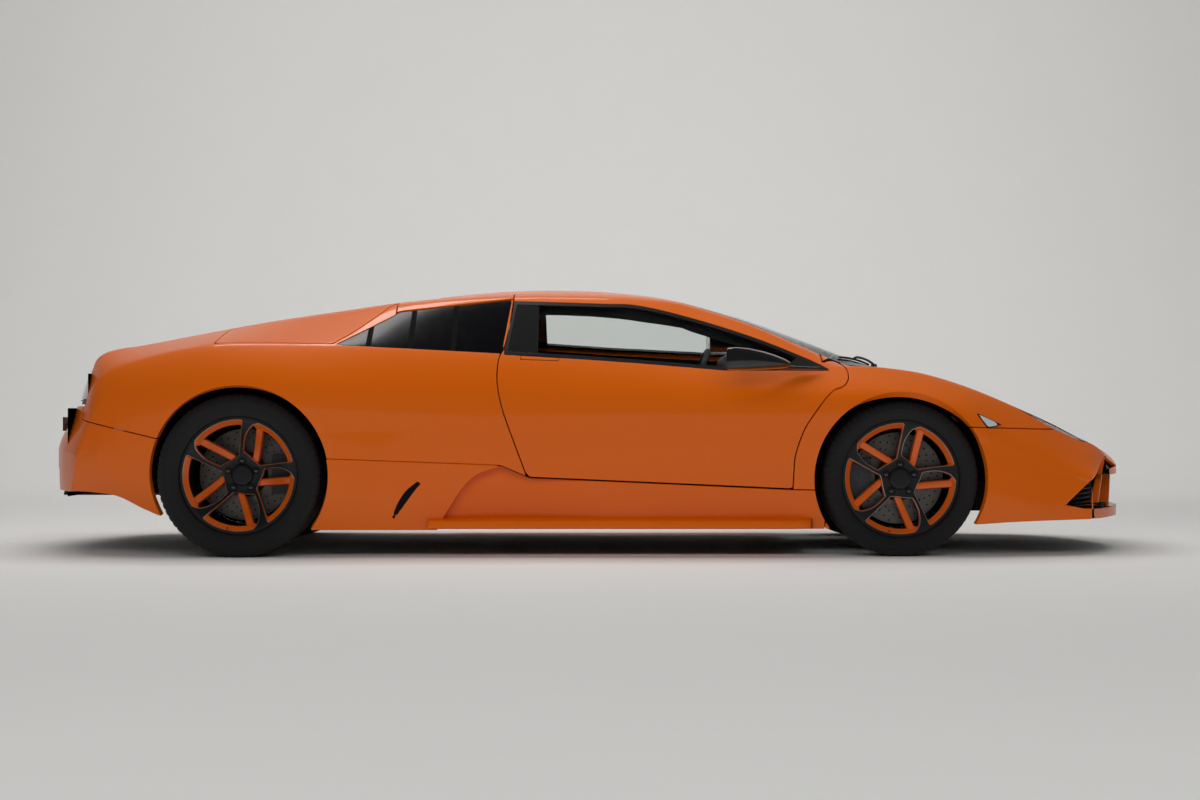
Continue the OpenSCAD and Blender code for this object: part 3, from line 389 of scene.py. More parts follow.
material("paint", rgb(234, 106, 2), rough=0.42, metal=0.0, coat=0.4, coat_rough=0.05, spread=0.04, scale=900, ior=1.3)
material("paint_wheel", rgb(222, 96, 14), rough=0.4, metal=0.1, coat=0.6, spread=0.05, scale=600)
material("gloss_black", rgb(14, 14, 15), rough=0.15, coat=1.0, spread=0.2, scale=200)
material("satin_black", rgb(20, 20, 21), rough=0.42, spread=0.15, scale=200, bump=0.1)
material("matte_black", rgb(18, 18, 19), rough=0.8, spread=0.2, scale=120, bump=0.2)
# near-black, rough: painted shade for holes, slots, intake and duct backs and the sheets set under and behind parts;
# also used for dark seams and slats
material("recess", rgb(6, 6, 7), rough=0.9, spread=0.2, scale=80)
material("rubber", rgb(26, 26, 27), rough=0.72, spread=0.12, scale=60, bump=0.25, bump_scale=500)
# pale metal for the band on the wheel windows' edges: painted highlight of the chamfer
material("edge_silver", rgb(190, 170, 155), rough=0.3, metal=0.8, spread=0.05)
material("disc_steel", rgb(112, 108, 104), rough=0.38, metal=0.85, spread=0.12, scale=25)
material("metal", rgb(150, 150, 152), rough=0.3, metal=1.0, spread=0.08)
material("cast", rgb(85, 85, 88), rough=0.55, metal=0.8, spread=0.15, scale=90, bump=0.2)
material("chrome", rgb(210, 210, 212), rough=0.1, metal=1.0, spread=0.03)
material("glass", rgb(225, 232, 230), rough=0.02, clear=1.0, spread=0.01, rough_spread=0.01, ior=1.05)
material("tinted", rgb(8, 8, 11), rough=0.16, coat=0.04, spread=0.1, scale=30, ior=1.2)
material("lens", rgb(235, 238, 240), rough=0.04, clear=1.0, spread=0.01, rough_spread=0.01, ior=1.2)
material("lamp_white", rgb(215, 218, 222), rough=0.25, spread=0.04, coat=0.5)
material("red_lens", rgb(120, 8, 10), rough=0.12, coat=1.0, spread=0.15, scale=60)
material("leather", rgb(30, 30, 32), rough=0.55, spread=0.12, scale=80, bump=0.5, bump_scale=900, sheen=0.1)
material("suede", rgb(24, 24, 26), rough=0.9, spread=0.2, scale=300, bump=0.4, bump_scale=1500, sheen=0.4)
material("stitch", rgb(205, 95, 30), rough=0.7, spread=0.1, scale=500)
material("webbing", rgb(28, 28, 30), rough=0.8, spread=0.2, scale=700, bump=0.5, bump_scale=1200, sheen=0.2)
material("carpet", rgb(20, 20, 21), rough=0.95, spread=0.3, scale=900, bump=0.8, bump_scale=1500)


# ---- Turning patches and bmesh solids into objects ----
def make(name, pieces, body_name, replaces=(), smooth=True):
    """One object from [(patch, material name)]; it rides on a CAD body."""
    pieces = [(q, m) for q, m in pieces if q is not None and len(q.t)]
    names, index, base = [], [], 0
    for q, m in pieces:
        if m not in names:
            names.append(m)
        index.append(np.full(len(q.t), names.index(m)))
    whole = joined(*[q for q, _ in pieces])
    mesh = bpy.data.meshes.new(name)
    mesh.from_pydata((whole.p * MM).tolist(), [], whole.t.tolist())
    for m in names:
        mesh.materials.append(materials[m])
    mesh.polygons.foreach_set("material_index", np.concatenate(index).astype(np.int32))
    mesh.polygons.foreach_set("use_smooth", np.ones(len(mesh.polygons), bool))
    if smooth:
        mesh.normals_split_custom_set_from_vertices(unit(whole.n).tolist())
    o = bpy.data.objects.new(name, mesh)
    bpy.context.scene.collection.objects.link(o)
    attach(o, body_name)
    if replaces:
        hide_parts(*replaces)
    return o


def flat(points, tris, flip=False):
    """Patch of flat-shaded faces."""
    p = np.array(points, float)
    t = np.array(tris)
    if flip:
        t = t[:, ::-1]
    q = p[t].reshape(-1, 3)
    n = np.repeat(unit(np.cross(p[t[:, 1]] - p[t[:, 0]], p[t[:, 2]] - p[t[:, 0]])), 3, 0)
    return Patch(q, n, np.arange(len(q)).reshape(-1, 3))


def box_patch(low, high, bevel=3.0):
    """Box with chamfered edges."""
    bm = bmesh.new()
    bmesh.ops.create_cube(bm, size=1)
    low, high = np.array(low, float), np.array(high, float)
    for v in bm.verts:
        v.co = Vector((low + high) / 2 + np.array(v.co) * (high - low))
    if bevel:
        bmesh.ops.bevel(bm, geom=list(bm.edges), offset=min(bevel, (high - low).min() * 0.45), segments=2,
            affect="EDGES", profile=0.5)
    return patch_of(bm)


def patch_of(bm, angle=40):
    """Patch of a bmesh, with smooth normals below the angle."""
    bmesh.ops.triangulate(bm, faces=list(bm.faces))
    bm.normal_update()
    points, normals, tris = [], [], []
    limit = math.cos(math.radians(angle))
    for f in bm.faces:
        row = []
        for v in f.verts:
            n = Vector((0, 0, 0))
            for g in v.link_faces:
                if g.normal.dot(f.normal) > limit:
                    n += g.normal * g.calc_area()
            row.append(len(points))
            points.append(v.co[:])
            normals.append((n.normalized() if n.length > 0 else f.normal)[:])
        tris.append(row)
    bm.free()
    return Patch(np.array(points, float), np.array(normals, float), np.array(tris))


def hull(points, bevel=0.0, segments=2, angle=40):
    bm = bmesh.new()
    for p in points:
        bm.verts.new(p)
    bmesh.ops.convex_hull(bm, input=list(bm.verts))
    for v in [v for v in bm.verts if not v.link_faces]:
        bm.verts.remove(v)
    bmesh.ops.dissolve_limit(bm, angle_limit=0.02, verts=list(bm.verts), edges=list(bm.edges))
    if bevel:
        bmesh.ops.bevel(bm, geom=list(bm.edges), offset=bevel, segments=segments, affect="EDGES", profile=0.5)
    return patch_of(bm, angle)


def revolve(profile, steps=96, flip=False, arc=360.0, start=0.0):
    """Surface of revolution about local z from [[radius, height]]; outside is to the left of the profile."""
    a = np.radians(start + np.linspace(0, arc, steps + 1))
    pr = np.array(profile, float)
    g = np.stack([pr[:, 0][:, None] * np.cos(a), pr[:, 0][:, None] * np.sin(a),
        np.repeat(pr[:, 1][:, None], steps + 1, 1)], -1)
    patch = grid_patch(g, flip)
    n = patch.n.reshape(g.shape).copy()
    n[:, 0] = n[:, -1] = unit(n[:, 0] + n[:, -1]) if arc == 360.0 else n[:, 0]
    patch.n = n.reshape(-1, 3)
    return patch


def tube(path, radius, sides=12, closed=False):
    p = np.array(path, float)
    if closed:
        along = unit(np.roll(p, -1, 0) - np.roll(p, 1, 0))
    else:
        along = unit(np.gradient(p, axis=0))
    up = np.array([0, 0, 1.0])
    if abs(along[0] @ up) > 0.9:
        up = np.array([0, 1.0, 0])
    rows = []
    b = unit(np.cross(along[0], up))
    for i in range(len(p)):
        b = unit(b - along[i] * (b @ along[i]))
        c = np.cross(along[i], b)
        r = radius[i] if np.ndim(radius) else radius
        a = np.linspace(0, 2 * np.pi, sides + 1)
        rows.append(p[i] + r * (np.cos(a)[:, None] * b + np.sin(a)[:, None] * c))
    if closed:
        rows.append(rows[0])
    g = np.array(rows)
    patch = grid_patch(g)
    centre = np.repeat(np.array(list(p) + ([p[0]] if closed else [])), sides + 1, 0)
    patch.n = unit(patch.p - centre)
    tri = patch.p[patch.t]
    face = np.cross(tri[:, 1] - tri[:, 0], tri[:, 2] - tri[:, 0])
    if (face * patch.n[patch.t[:, 0]]).sum() < 0:
        patch.t = patch.t[:, ::-1]
    return patch


def smooth_line(points, steps=6):
    p = np.array(points, float)
    out = []
    for i in range(len(p) - 1):
        p0, p1, p2, p3 = p[max(i - 1, 0)], p[i], p[i + 1], p[min(i + 2, len(p) - 1)]
        for s in range(steps + (i == len(p) - 2)):
            t = s / steps
            out.append(0.5 * (2 * p1 + (p2 - p0) * t + (2 * p0 - 5 * p1 + 4 * p2 - p3) * t * t
                + (3 * p1 - p0 - 3 * p2 + p3) * t**3))
    return [list(q) for q in out]


def mirrored(points):
    return [[x, -y] for x, y in points[::-1]]


def rounded(points, radius, steps=5):
    """Closed outline with its corners rounded."""
    p = np.array(points, float)
    out = []
    for i in range(len(p)):
        a, b, c = p[i - 1], p[i], p[(i + 1) % len(p)]
        u, v = a - b, c - b
        cut_back = min(radius, np.hypot(*u) * 0.45, np.hypot(*v) * 0.45)
        s, e = b + unit(u) * cut_back, b + unit(v) * cut_back
        for k in range(steps + 1):
            t = k / steps
            out.append(((1 - t) ** 2 * s + 2 * t * (1 - t) * b + t * t * e).tolist())
    return out


def placed(patch, matrix):
    m = np.array(matrix, float)
    p = patch.p @ m[:3, :3].T + m[:3, 3]
    n = unit(patch.n @ np.linalg.inv(m[:3, :3]))
    t = patch.t[:, ::-1] if np.linalg.det(m[:3, :3]) < 0 else patch.t
    return Patch(p, n, t)


# ---- Outlines seen from the side ----
door_rear = smooth_line([[-312, 1300], [-312, 1060], [-336, 870], [-362, 800], [-366, 709],
    [-350, 618], [-321, 527], [-245, 321]])
# the right door's hinge: a point on its axis, the axis's slope sideways, and the corner the door turns in
DOOR_PIVOT = [1000, -850, 738]
DOOR_TILT = 0.05
DOOR_CORNER = 60
door_front = smooth_line([[829, 273], [833, 353], [838, 410], [869, 503], [905, 565], [960, 640],
    [1000, 678]]) + [[DOOR_PIVOT[0] + DOOR_CORNER * math.cos(math.radians(a)),
        DOOR_PIVOT[2] + DOOR_CORNER * math.sin(math.radians(a))]
    for a in range(-75, 138, 12)]
door_outline = door_rear + [[829, 273]] + door_front + [[956, 1300]]
window_top = smooth_line([[-312, 1051], [50, 1040], [218, 1032], [461, 972], [705, 890], [905, 805],
    [985, 762]])
window_outline = window_top + [[990, 752], [563, 752], [213, 781], [0, 796], [-345, 816]]
quarter_window = [[-1030, 858], [-785, 1000], [-318, 1054], [-350, 822]]
skirt_outline = [[-1400, 398], [-1032, 395], [-352, 368], [-235, 318], [830, 270], [960, 268],
    [960, 0], [-1400, 0]]
rear_bumper_outline = [[-2600, 620], [-2240, 585], [-2063, 552], [-1700, 470], [-1700, 0], [-2600, 0]]
front_bumper_outline = [[1500, 524], [1970, 512], [2110, 478], [2205, 430], [2500, 380],
    [2500, 0], [1500, 0]]
cabin_side = [[700, 0]] + door_front + [[956, 1300], [700, 1300]]
quarter_outline = door_rear + [[-245, 0], [-2600, 0], [-2600, 1300]]
below_roof = [[-2000, 0], [-2000, 700], [-1042, 862], [-785, 1004], [-318, 1058], [-290, 1060],
    [-290, 0]]
nose_intake = [[2174, 405], [1942, 204], [2036, 186], [2400, 200], [2400, 330]]
scoop_outline = smooth_line([[-343, 367], [-400, 352], [-459, 325], [-508, 275], [-543, 224],
    [-597, 134], [-612, 100]]) + [[-1400, 100], [-1400, 420], [-343, 420]]

# ---- Outlines seen from above ----
screen_side = [[395, -438], [560, -492], [760, -568], [950, -640], [1068, -690]]
screen_foot = smooth_line([[1068, -690], [1150, -560], [1225, -330], [1252, 0], [1225, 330],
    [1150, 560], [1068, 690]])
screen_head = smooth_line([[395, 438], [425, 220], [435, 0], [425, -220], [395, -438]])
screen_outline = screen_side + screen_foot + mirrored(screen_side) + screen_head
bonnet_outline = [[1300, 590], [1300, -590]] + smooth_line([[1550, -580], [1850, -520], [2060, -430],
    [2190, -290], [2240, 0], [2190, 290], [2060, 430], [1850, 520], [1550, 580]])
cowl_outline = [[1085, -700], [1292, -640], [1292, 640], [1085, 700]]
headlamp_outline = smooth_line([[1640, -742], [1850, -632], [2075, -478], [2115, -510],
    [2060, -606], [1850, -712], [1640, -742]], 5)
roof_outline = screen_head + [[200, -455], [-312, -455], [-312, -900], [-800, -900], [-800, 900],
    [-312, 900], [-312, 455], [200, 455]]
rear_window_outline = rounded([[-640, -380], [-640, 380], [-770, 400], [-770, -400]], 25)
engine_lid_outline = [[-800, -490], [-800, 490], [-1500, 530], [-1930, 560], [-1930, -560],
    [-1500, -530]]
spoiler_outline = [[-1930, -620], [-1930, 620], [-2062, 640], [-2062, -640]]
flap_outline = [[-800, -496], [-1036, -846], [-1250, -862], [-1519, -868], [-1500, -536]]
door_plan = [[-312, -455], [200, -455]] + screen_side + [[1400, -690], [1400, -1300], [-600, -1300],
    [-600, -455]]

GAP = 2.0
EDGE = 2.2
FRONT = (1265.0, 314.5, 352.5)
REAR = (-1400.0, 329.0, 364.0)


def both_test(f):
    """A test for the right-hand side, applied to both."""
    return lambda p: f(np.stack([p[:, 0], -np.abs(p[:, 1]), p[:, 2]], 1))


def keep_in(kind, outline, **k):
    return kind(outline, grow=-(GAP + EDGE), **k)


def keep_out(kind, outline, **k):
    return kind(outline, grow=GAP + EDGE, keep=-1, **k)


def panel(patch, depth=16, lining="recess", skin="paint", radius=EDGE):
    # linings default to the near-black painted shade inside the panels
    outer, inner = edged(patch, radius, depth, lining is not None)
    return [(outer, skin)] + ([(inner, lining)] if inner is not None else [])


# ---- Body panels ----
bonnet = cut(body(1240, 2290, CENTRE, BELT + 10, True), keep_in(from_top, bonnet_outline, above=380))
make("bonnet_skin", panel(bonnet), "front_lid", ["bonnet"])

fender = cut(body(780, 2220, RAIL - 12, BOTTOM), keep_out(from_side, cabin_side), keep_out(from_side, skirt_outline),
    keep_out(from_side, front_bumper_outline), off_wheel(*FRONT), keep_out(from_top, bonnet_outline),
    keep_out(from_top, cowl_outline), keep_out(from_top, screen_outline), keep_out(from_top, headlamp_outline),
    lambda p: np.maximum(p[:, 0] - 970, 788 - p[:, 2]))
def door_reach(p):
    """Distance left outside the circle that the door's upper edge turns in, about its tilted axis."""
    axis = np.array([0, 1, DOOR_TILT]) / math.hypot(1, DOOR_TILT)
    d = p - DOOR_PIVOT
    return np.linalg.norm(d - (d @ axis)[:, None] * axis, axis=1) - DOOR_CORNER


fender_parts = [(cut(q, door_reach), m) for q, m in panel(fender, 30)]
for side, flip in (("right", False), ("left", True)):
    make("fender_" + side, [(left(q) if flip else q, m) for q, m in fender_parts], "shell",
        ["front_fender_" + side])

screen = cut(body(330, 1300, CENTRE, BELT, True), keep_in(from_top, screen_outline, above=500))
screen_black = cut(offset(screen, 0.6), lambda p: 26 - signed(screen_outline, p[:, [0, 1]]))
make("windscreen_glass", [(edged(screen, 1, 5)[0], "glass")], "shell", ["windscreen"])
make("windscreen_border", [(screen_black, "gloss_black"), (turned(offset(screen_black, 6)), "matte_black")],
    "shell")

roof_skin = cut(body(-850, 450, CENTRE, BELT + 6, True), keep_in(from_top, roof_outline, above=700),
    both_test(keep_out(from_side, below_roof)), keep_out(from_top, rear_window_outline))
make("roof_skin", panel(roof_skin, 18, "suede"), "shell", ["roof"])
make("rear_window_glass", [(edged(offset(cut(body(-850, -580, CENTRE, BELT, True),
    from_top(rear_window_outline, -1)), 2), 1, 4)[0], "tinted")], "shell", ["rear_window"])
cowl = cut(offset(body(970, 1340, CENTRE, BELT + 8, True), 3), keep_in(from_top, cowl_outline),
    keep_out(from_top, screen_outline))
make("cowl_panel", panel(cowl, 16, None, "satin_black"), "shell", ["cowl"])

door_skin = cut(body(-470, 1150, CROWN, BOTTOM), keep_in(from_side, door_outline), keep_in(from_top, door_plan),
    keep_out(from_side, skirt_outline), lambda p: -(np.minimum(signed(window_outline, p[:, [0, 2]]), np.abs(p[:,
        1]) - 400)))
door_parts = panel(door_skin, 30, "leather")
seal_outer = cut(offset(body(-470, 1150, CROWN, BELT + 20), 1.5), from_side(window_outline, 1, 1, 400),
    keep_in(from_side, door_outline))
seal = cut(seal_outer, lambda p: 16 - signed(window_outline, p[:, [0, 2]]))
door_pane = cut(offset(body(-470, 1150, CROWN, BELT + 20), 4), from_side(window_outline, -3, 1, 400),
    keep_in(from_side, door_outline))
pillar = cut(offset(door_pane, -1.2), plane(0, -205, -1))
for side, flip in (("right", False), ("left", True)):
    f = left if flip else (lambda q: q)
    make("door_skin_" + side, [(f(q), m) for q, m in door_parts], side + "_door", ["door_" + side])
    make("door_seal_" + side, [(f(edged(seal, 1, 12)[0]), "satin_black"), (f(edged(pillar, 1, 10)[0]),
        "gloss_black")],
        side + "_door")
    make("door_pane_" + side, [(f(edged(door_pane, 0.5, 4)[0]), "glass")], side + "_door",
        ["door_glass_" + side])

quarter = cut(body(-2296, -230, RAIL - 14, BOTTOM), keep_in(from_side, quarter_outline),
    keep_out(from_side, skirt_outline), keep_out(from_side, rear_bumper_outline),
    lambda p: -(np.minimum(signed(quarter_window, p[:, [0, 2]]) + 1, np.abs(p[:, 1]) - 400)), off_wheel(*REAR),
    keep_out(from_top, engine_lid_outline), keep_out(from_top, flap_outline), keep_out(from_top, spoiler_outline,
        above=740),
    lambda p: np.maximum(-(np.minimum(signed(roof_outline, p[:, [0, 1]]) + GAP + EDGE, p[:, 2] - 700)),
        signed(below_roof, p[:, [0, 2]]) - GAP - EDGE),
    lambda p: np.maximum(p[:, 0] + 2060 - 3, 612 - 3 - p[:, 2]), lambda p: np.maximum(np.abs(p[:, 1]) - 769, p[:,
        0] + 2070))
quarter_parts = panel(quarter, 30)
for side, flip in (("right", False), ("left", True)):
    make("quarter_" + side, [(left(q) if flip else q, m) for q, m in quarter_parts], "shell",
        ["rear_quarter_" + side])
quarter_pane = cut(offset(body(-1100, -280, RAIL - 14, BELT + 8), 3), from_side(quarter_window, -1, 1, 400))
quarter_slats = []
for x0 in (-905, -735, -560):
    quarter_slats.append(cut(offset(quarter_pane, -0.8), plane(0, x0), plane(0, x0 + 22, -1)))
make("quarter_panes", [(both(edged(quarter_pane, 0.6, 5)[0]), "tinted")]
    + [(both(q), "recess") for q in quarter_slats], "shell", ["quarter_glass"])

flap = cut(body(-1600, -700, RAIL - 16, BELT + 12), keep_in(from_top, rounded(flap_outline, 30), above=700))
for side, flip in (("right", False), ("left", True)):
    make("flap_skin_" + side, [(left(q) if flip else q, m) for q, m in panel(flap, 16)], side + "_flap",
        ["intake_flap_" + side])

# engine lid with a slatted opening
lid_hole = rounded([[-900, -300], [-900, 300], [-1640, 360], [-1640, -360]], 40)
lid_sheet = body(-1990, -700, CENTRE, RAIL + 12, True)
lid = cut(lid_sheet, keep_in(from_top, engine_lid_outline, above=700), from_top(lid_hole, 0, -1))
slats = []
for k in range(6):
    x1 = -925 - k * 120
    slats.append(edged(cut(offset(lid_sheet, 6), from_top(lid_hole, -2), plane(0, x1, -1), plane(0, x1 - 78)), 2,
        10)[0])
# near-black sheet under the slats: painted shade of the engine bay
bed = cut(offset(lid_sheet, 15), from_top(lid_hole, 4))
make("engine_lid_skin", panel(lid, 18) + [(q, "satin_black") for q in slats] + [(bed, "recess")], "rear_lid",
    ["engine_lid"])
spoiler = cut(body(-2140, -1870, CENTRE, BELT + 10, True), keep_in(from_top, spoiler_outline, above=740),
    lambda p: p[:, 0] + 2056)
make("spoiler_skin", panel(spoiler, 16), "spoiler", ["rear_spoiler"])


# ---- Nose ----
def end_point(u, y, part):
    """Point of the section at u: its x and its heights at the top and at the bottom. part is not used."""
    x = u + float(curve(FALL_BACK, u)) * (y / 1029) ** 2
    half = sections(np.array([float(u)]))[0]
    top, foot = half[:MIDDLE + 1], half[MIDDLE:UNDER + 1]
    z1 = np.interp(abs(y), top[:, 0], top[:, 1])
    z0 = np.interp(-abs(y), -foot[:, 0], foot[:, 1])
    return x, z1, z0


def end_face(u, half_width, low, high, push=0.0, columns=60, rows=8, nose=True):
    """Upright face across the nose or the tail, between two heights."""
    g = []
    for y in np.linspace(-half_width, half_width, columns):
        x, z1, z0 = end_point(u, y, 0)
        a, b = max(low, z0), min(high, z1)
        g.append([[x - (push if nose else -push), y, a + (b - a) * k / (rows - 1)] for k in range(rows)])
    return grid_patch(np.array(g), flip=nose)


front_side = cut(body(1430, 2304, RAIL - 12, BOTTOM, step=12), keep_in(from_side, front_bumper_outline),
    off_wheel(*FRONT),
    keep_out(from_top, bonnet_outline, above=380), keep_out(from_top, headlamp_outline),
    lambda p: -(np.minimum(signed(nose_intake, p[:, [0, 2]]), np.abs(p[:, 1]) - 300)))
nose_parts = []
for q, m in panel(front_side, 30):
    nose_parts.append((both(q), m))
make("front_bumper_skin", nose_parts, "shell", ["front_bumper"])


# ---- Wheels, in a frame whose z points outwards ----
def wheel_frame(centre, track, side):
    x, z, _ = centre
    return Matrix(((1, 0, 0, x), (0, 0, side, side * track), (0, 1, 0, z), (0, 0, 0, 1)))


def polar(r, a):
    return [r * math.cos(math.radians(a)), r * math.sin(math.radians(a))]


def window_line(turn):
    """Outline of a window of the wheel: outer arc, left edge, inner edge and right edge."""
    arc = [polar(224, a) for a in np.linspace(86, 141, 14)]
    side = [polar(r, a) for r, a in ((224, 141), (208, 147), (188, 151), (160, 155), (130, 157.5), (94, 159))]
    inner = [polar(94, 159), polar(80, 140), polar(74, 122), polar(81, 99)]
    points = arc + smooth_line(side, 4)[1:] + smooth_line(inner, 4)[1:-1] + [polar(r, a) for r, a in
        ((81, 99), (120, 92.5), (160, 89.2), (195, 87.3))]
    q = np.array(rounded(points, 9, 3))
    c, s = math.cos(math.radians(turn)), math.sin(math.radians(turn))
    return q @ np.array([[c, s], [-s, c]])


def loop_normals(q):
    along = unit(np.roll(q, -1, 0) - np.roll(q, 1, 0))
    return np.stack([along[:, 1], -along[:, 0]], 1)


def band(loops, flip=False):
    """Surface through closed loops given as (points, height)."""
    rows = []
    for q, z in loops:
        h = np.full(len(q), float(z)) if np.ndim(z) == 0 else np.asarray(z)
        row = np.concatenate([q, h[:, None]], 1)
        rows.append(np.concatenate([row, row[:1]]))
    g = np.array(rows)
    patch = grid_patch(g, flip)
    n = patch.n.reshape(g.shape).copy()
    n[:, 0] = n[:, -1] = unit(n[:, 0] + n[:, -1])
    patch.n = n.reshape(-1, 3)
    return patch


def wheel_parts(width, dish):
    half = width / 2
    lip = half - 9
    hub = lip - dish

    def face_z(r):
        t = np.clip((r - 60) / (222 - 60), 0, 1)
        return hub + (lip - 14 - hub) * (t * t * (3 - 2 * t) * 0.55 + 0.45 * t**1.6)
    rs = np.concatenate([[40, 46, 52, 60, 68], np.linspace(76, 232, 27), [235]])
    angles = np.radians(np.linspace(0, 360, 241))
    g = np.stack([rs[:, None] * np.cos(angles), rs[:, None] * np.sin(angles),
        np.repeat(face_z(rs)[:, None], len(angles), 1)], -1)
    face = grid_patch(g, flip=True)
    if face.n[:, 2].mean() < 0:
        face = turned(face)
    parts = []
    tests = []
    for k in range(5):
        line = window_line(72 * k)
        tests.append(lambda p, line=line: -signed(line, p[:, :2]) - 1.5)
        out = loop_normals(line)
        r = np.hypot(line[:, 0], line[:, 1])
        z = face_z(r)
        angle = (np.degrees(np.arctan2(line[:, 1], line[:, 0])) - 72 * k) % 360
        outer = np.clip((r - 196) / 20, 0, 1) * ((angle > 84) & (angle < 146))
        inset = 3 + 17 * outer
        q1 = line + out * 1.5
        q2 = line - out * 0.8
        q3 = line - out * inset[:, None]
        q4 = q3 - out * 1.0
        sign = 1 if ((line - line.mean(0)) * out).sum() > 0 else -1
        if sign < 0:
            q1, q2 = line - out * 1.5, line + out * 0.8
            q3 = line + out * inset[:, None]
            q4 = q3 + out * 1.0
        # pale band along each window's edge: painted highlight of the chamfer
        parts.append((band([(q1, z), (q2, z - 1.6)], flip=True), "edge_silver"))
        wall = band([(q2, z - 1.6), (q3, z - 22)], flip=True)
        parts.append((wall, "paint_wheel"))
        parts.append((band([(q3, z - 22), (q4, z - 46)], flip=True), "satin_black"))
        # slanted bar across the window
        a, b = np.array(polar(221, 139 + 72 * k)), np.array(polar(74, 118 + 72 * k))
        along = unit(b - a)
        across = np.array([-along[1], along[0]])
        line_points = []
        for s in np.linspace(0, 1, 7):
            mid = a + (b - a) * s
            zz = float(face_z(np.hypot(*mid))) - 13 - 5 * math.sin(math.pi * s)
            w = 12.5 + 1.5 * (1 - s)
            line_points.append([[*(mid - across * (w + 3)), zz - 20], [*(mid - across * w), zz - 2],
                [*(mid - across * (w - 3)), zz], [*(mid + across * (w - 3)), zz],
                [*(mid + across * w), zz - 2], [*(mid + across * (w + 3)), zz - 20]])
        bar = grid_patch(np.array(line_points))
        if bar.n[:, 2].mean() < 0:
            bar = turned(bar)
        parts.append((bar, "paint_wheel"))
    face = cut(face, *tests)
    parts.append((face, "satin_black"))
    # rim lip, barrel and back
    parts.append((revolve([[235, lip - 12.5], [238, lip - 8], [240, lip - 2], [243, lip], [247, lip - 1],
        [249.5, lip - 5], [249.5, lip - 14]], 120), "satin_black"))
    parts.append((revolve([[206, -half + 24], [210, -40], [224, lip - 60], [226, lip - 40], [224, lip - 14]], 96,
        flip=False), "satin_black"))
    parts.append((revolve([[249.5, -half + 8], [246, -half + 4], [242, -half + 8], [230, -half + 18], [206,
        -half + 24]],
        96, flip=True), "satin_black"))
    # flat dark two-sided ring across the barrel's inner end: painted shade that closes the view through the wheel
    for flip in (False, True):
        parts.append((revolve([[206, -half + 24], [150, -half + 20]], 64, flip=flip), "matte_black"))
    # centre cap and nuts
    parts.append((revolve([[46, hub - 3], [45, hub + 5], [41, hub + 10], [33, hub + 12.5], [30, hub + 12], [0.01,
        hub + 13]], 48), "satin_black"))
    for k in range(5):
        x, y = polar(60, 90 + 72 * k)
        move = Matrix.Translation((x, y, 0))
        parts.append((placed(revolve([[15.5, hub + 2], [15, hub + 0.4], [13.5, hub + 0.2], [12.5, hub - 3]], 24),
            move), "gloss_black"))
        parts.append((placed(revolve([[10.5, hub - 4], [10.5, hub + 7], [8.5, hub + 10], [0.01, hub + 10.5]], 6),
            move), "gloss_black"))
    # valve
    x, y = polar(216, 258)
    parts.append((placed(revolve([[4, lip - 40], [4, lip - 18], [2.6, lip - 16], [2.6, lip - 8], [0.01,
        lip - 7]], 12),
        Matrix.Translation((x, y, 0))), "chrome"))
    return parts


def facing(patch):
    """Turns the patch's triangles to agree with its normals."""
    p, t = patch.p, patch.t
    face = np.cross(p[t[:, 1]] - p[t[:, 0]], p[t[:, 2]] - p[t[:, 0]])
    wrong = (face * (patch.n[t[:, 0]] + patch.n[t[:, 1]] + patch.n[t[:, 2]])).sum(1) < 0
    t = t.copy()
    t[wrong] = t[wrong][:, ::-1]
    return Patch(p, patch.n, t)


def tyre_patch(width, diameter):
    w, top = width / 2, diameter / 2
    low = 240
    side = [[low, w - 16], [low + 3, w - 9], [low + 8, w - 8], [low + 10, w - 5.5], [low + 13, w - 5.5],
        [low + 15, w - 4.5], [low + 24, w - 1.6], [low + 34, w - 0.6], [top - 34, w - 0.4], [top - 31, w - 0.4],
        [top - 29.5, w - 2.2],
        [top - 27, w - 2.2], [top - 25, w - 1.6], [top - 17, w - 5], [top - 9, w - 12], [top - 4, w - 20]]
    tread = [[top - 1.6, w - 30]]
    for g in ([0.62, 0.22] if width < 300 else [0.66, 0.38, 0.1]):
        z = g * w
        tread += [[top - 0.4, z + 5.5], [top - 7, z + 4.5], [top - 7, z - 4.5], [top - 0.2, z - 5.5]]
    half = side + tread
    profile = half + [[r, -z] for r, z in half[::-1]]
    steps = 288
    a = np.radians(np.linspace(0, 360, steps + 1))
    pr = np.array(profile)
    r = np.repeat(pr[:, 0][:, None], steps + 1, 1)
    z = np.repeat(pr[:, 1][:, None], steps + 1, 1)
    notch = ((np.arange(steps + 1) % 4) == 0) * 1.0
    shoulder = (r > top - 26) & (np.abs(z) > 0.72 * w)
    r = r - np.where(shoulder, notch[None, :] * 4.0, 0)
    g = np.stack([r * np.cos(a), r * np.sin(a), z], -1)
    patch = grid_patch(g)
    n = patch.n.reshape(g.shape).copy()
    n[:, 0] = n[:, -1] = unit(n[:, 0] + n[:, -2])
    patch.n = n.reshape(-1, 3)
    ring = g * [1, 1, 0]
    ring = unit(ring) * (top - 40)
    if ((patch.p - ring.reshape(-1, 3)) * patch.n).sum() < 0:
        patch.n = -patch.n
    return facing(patch)


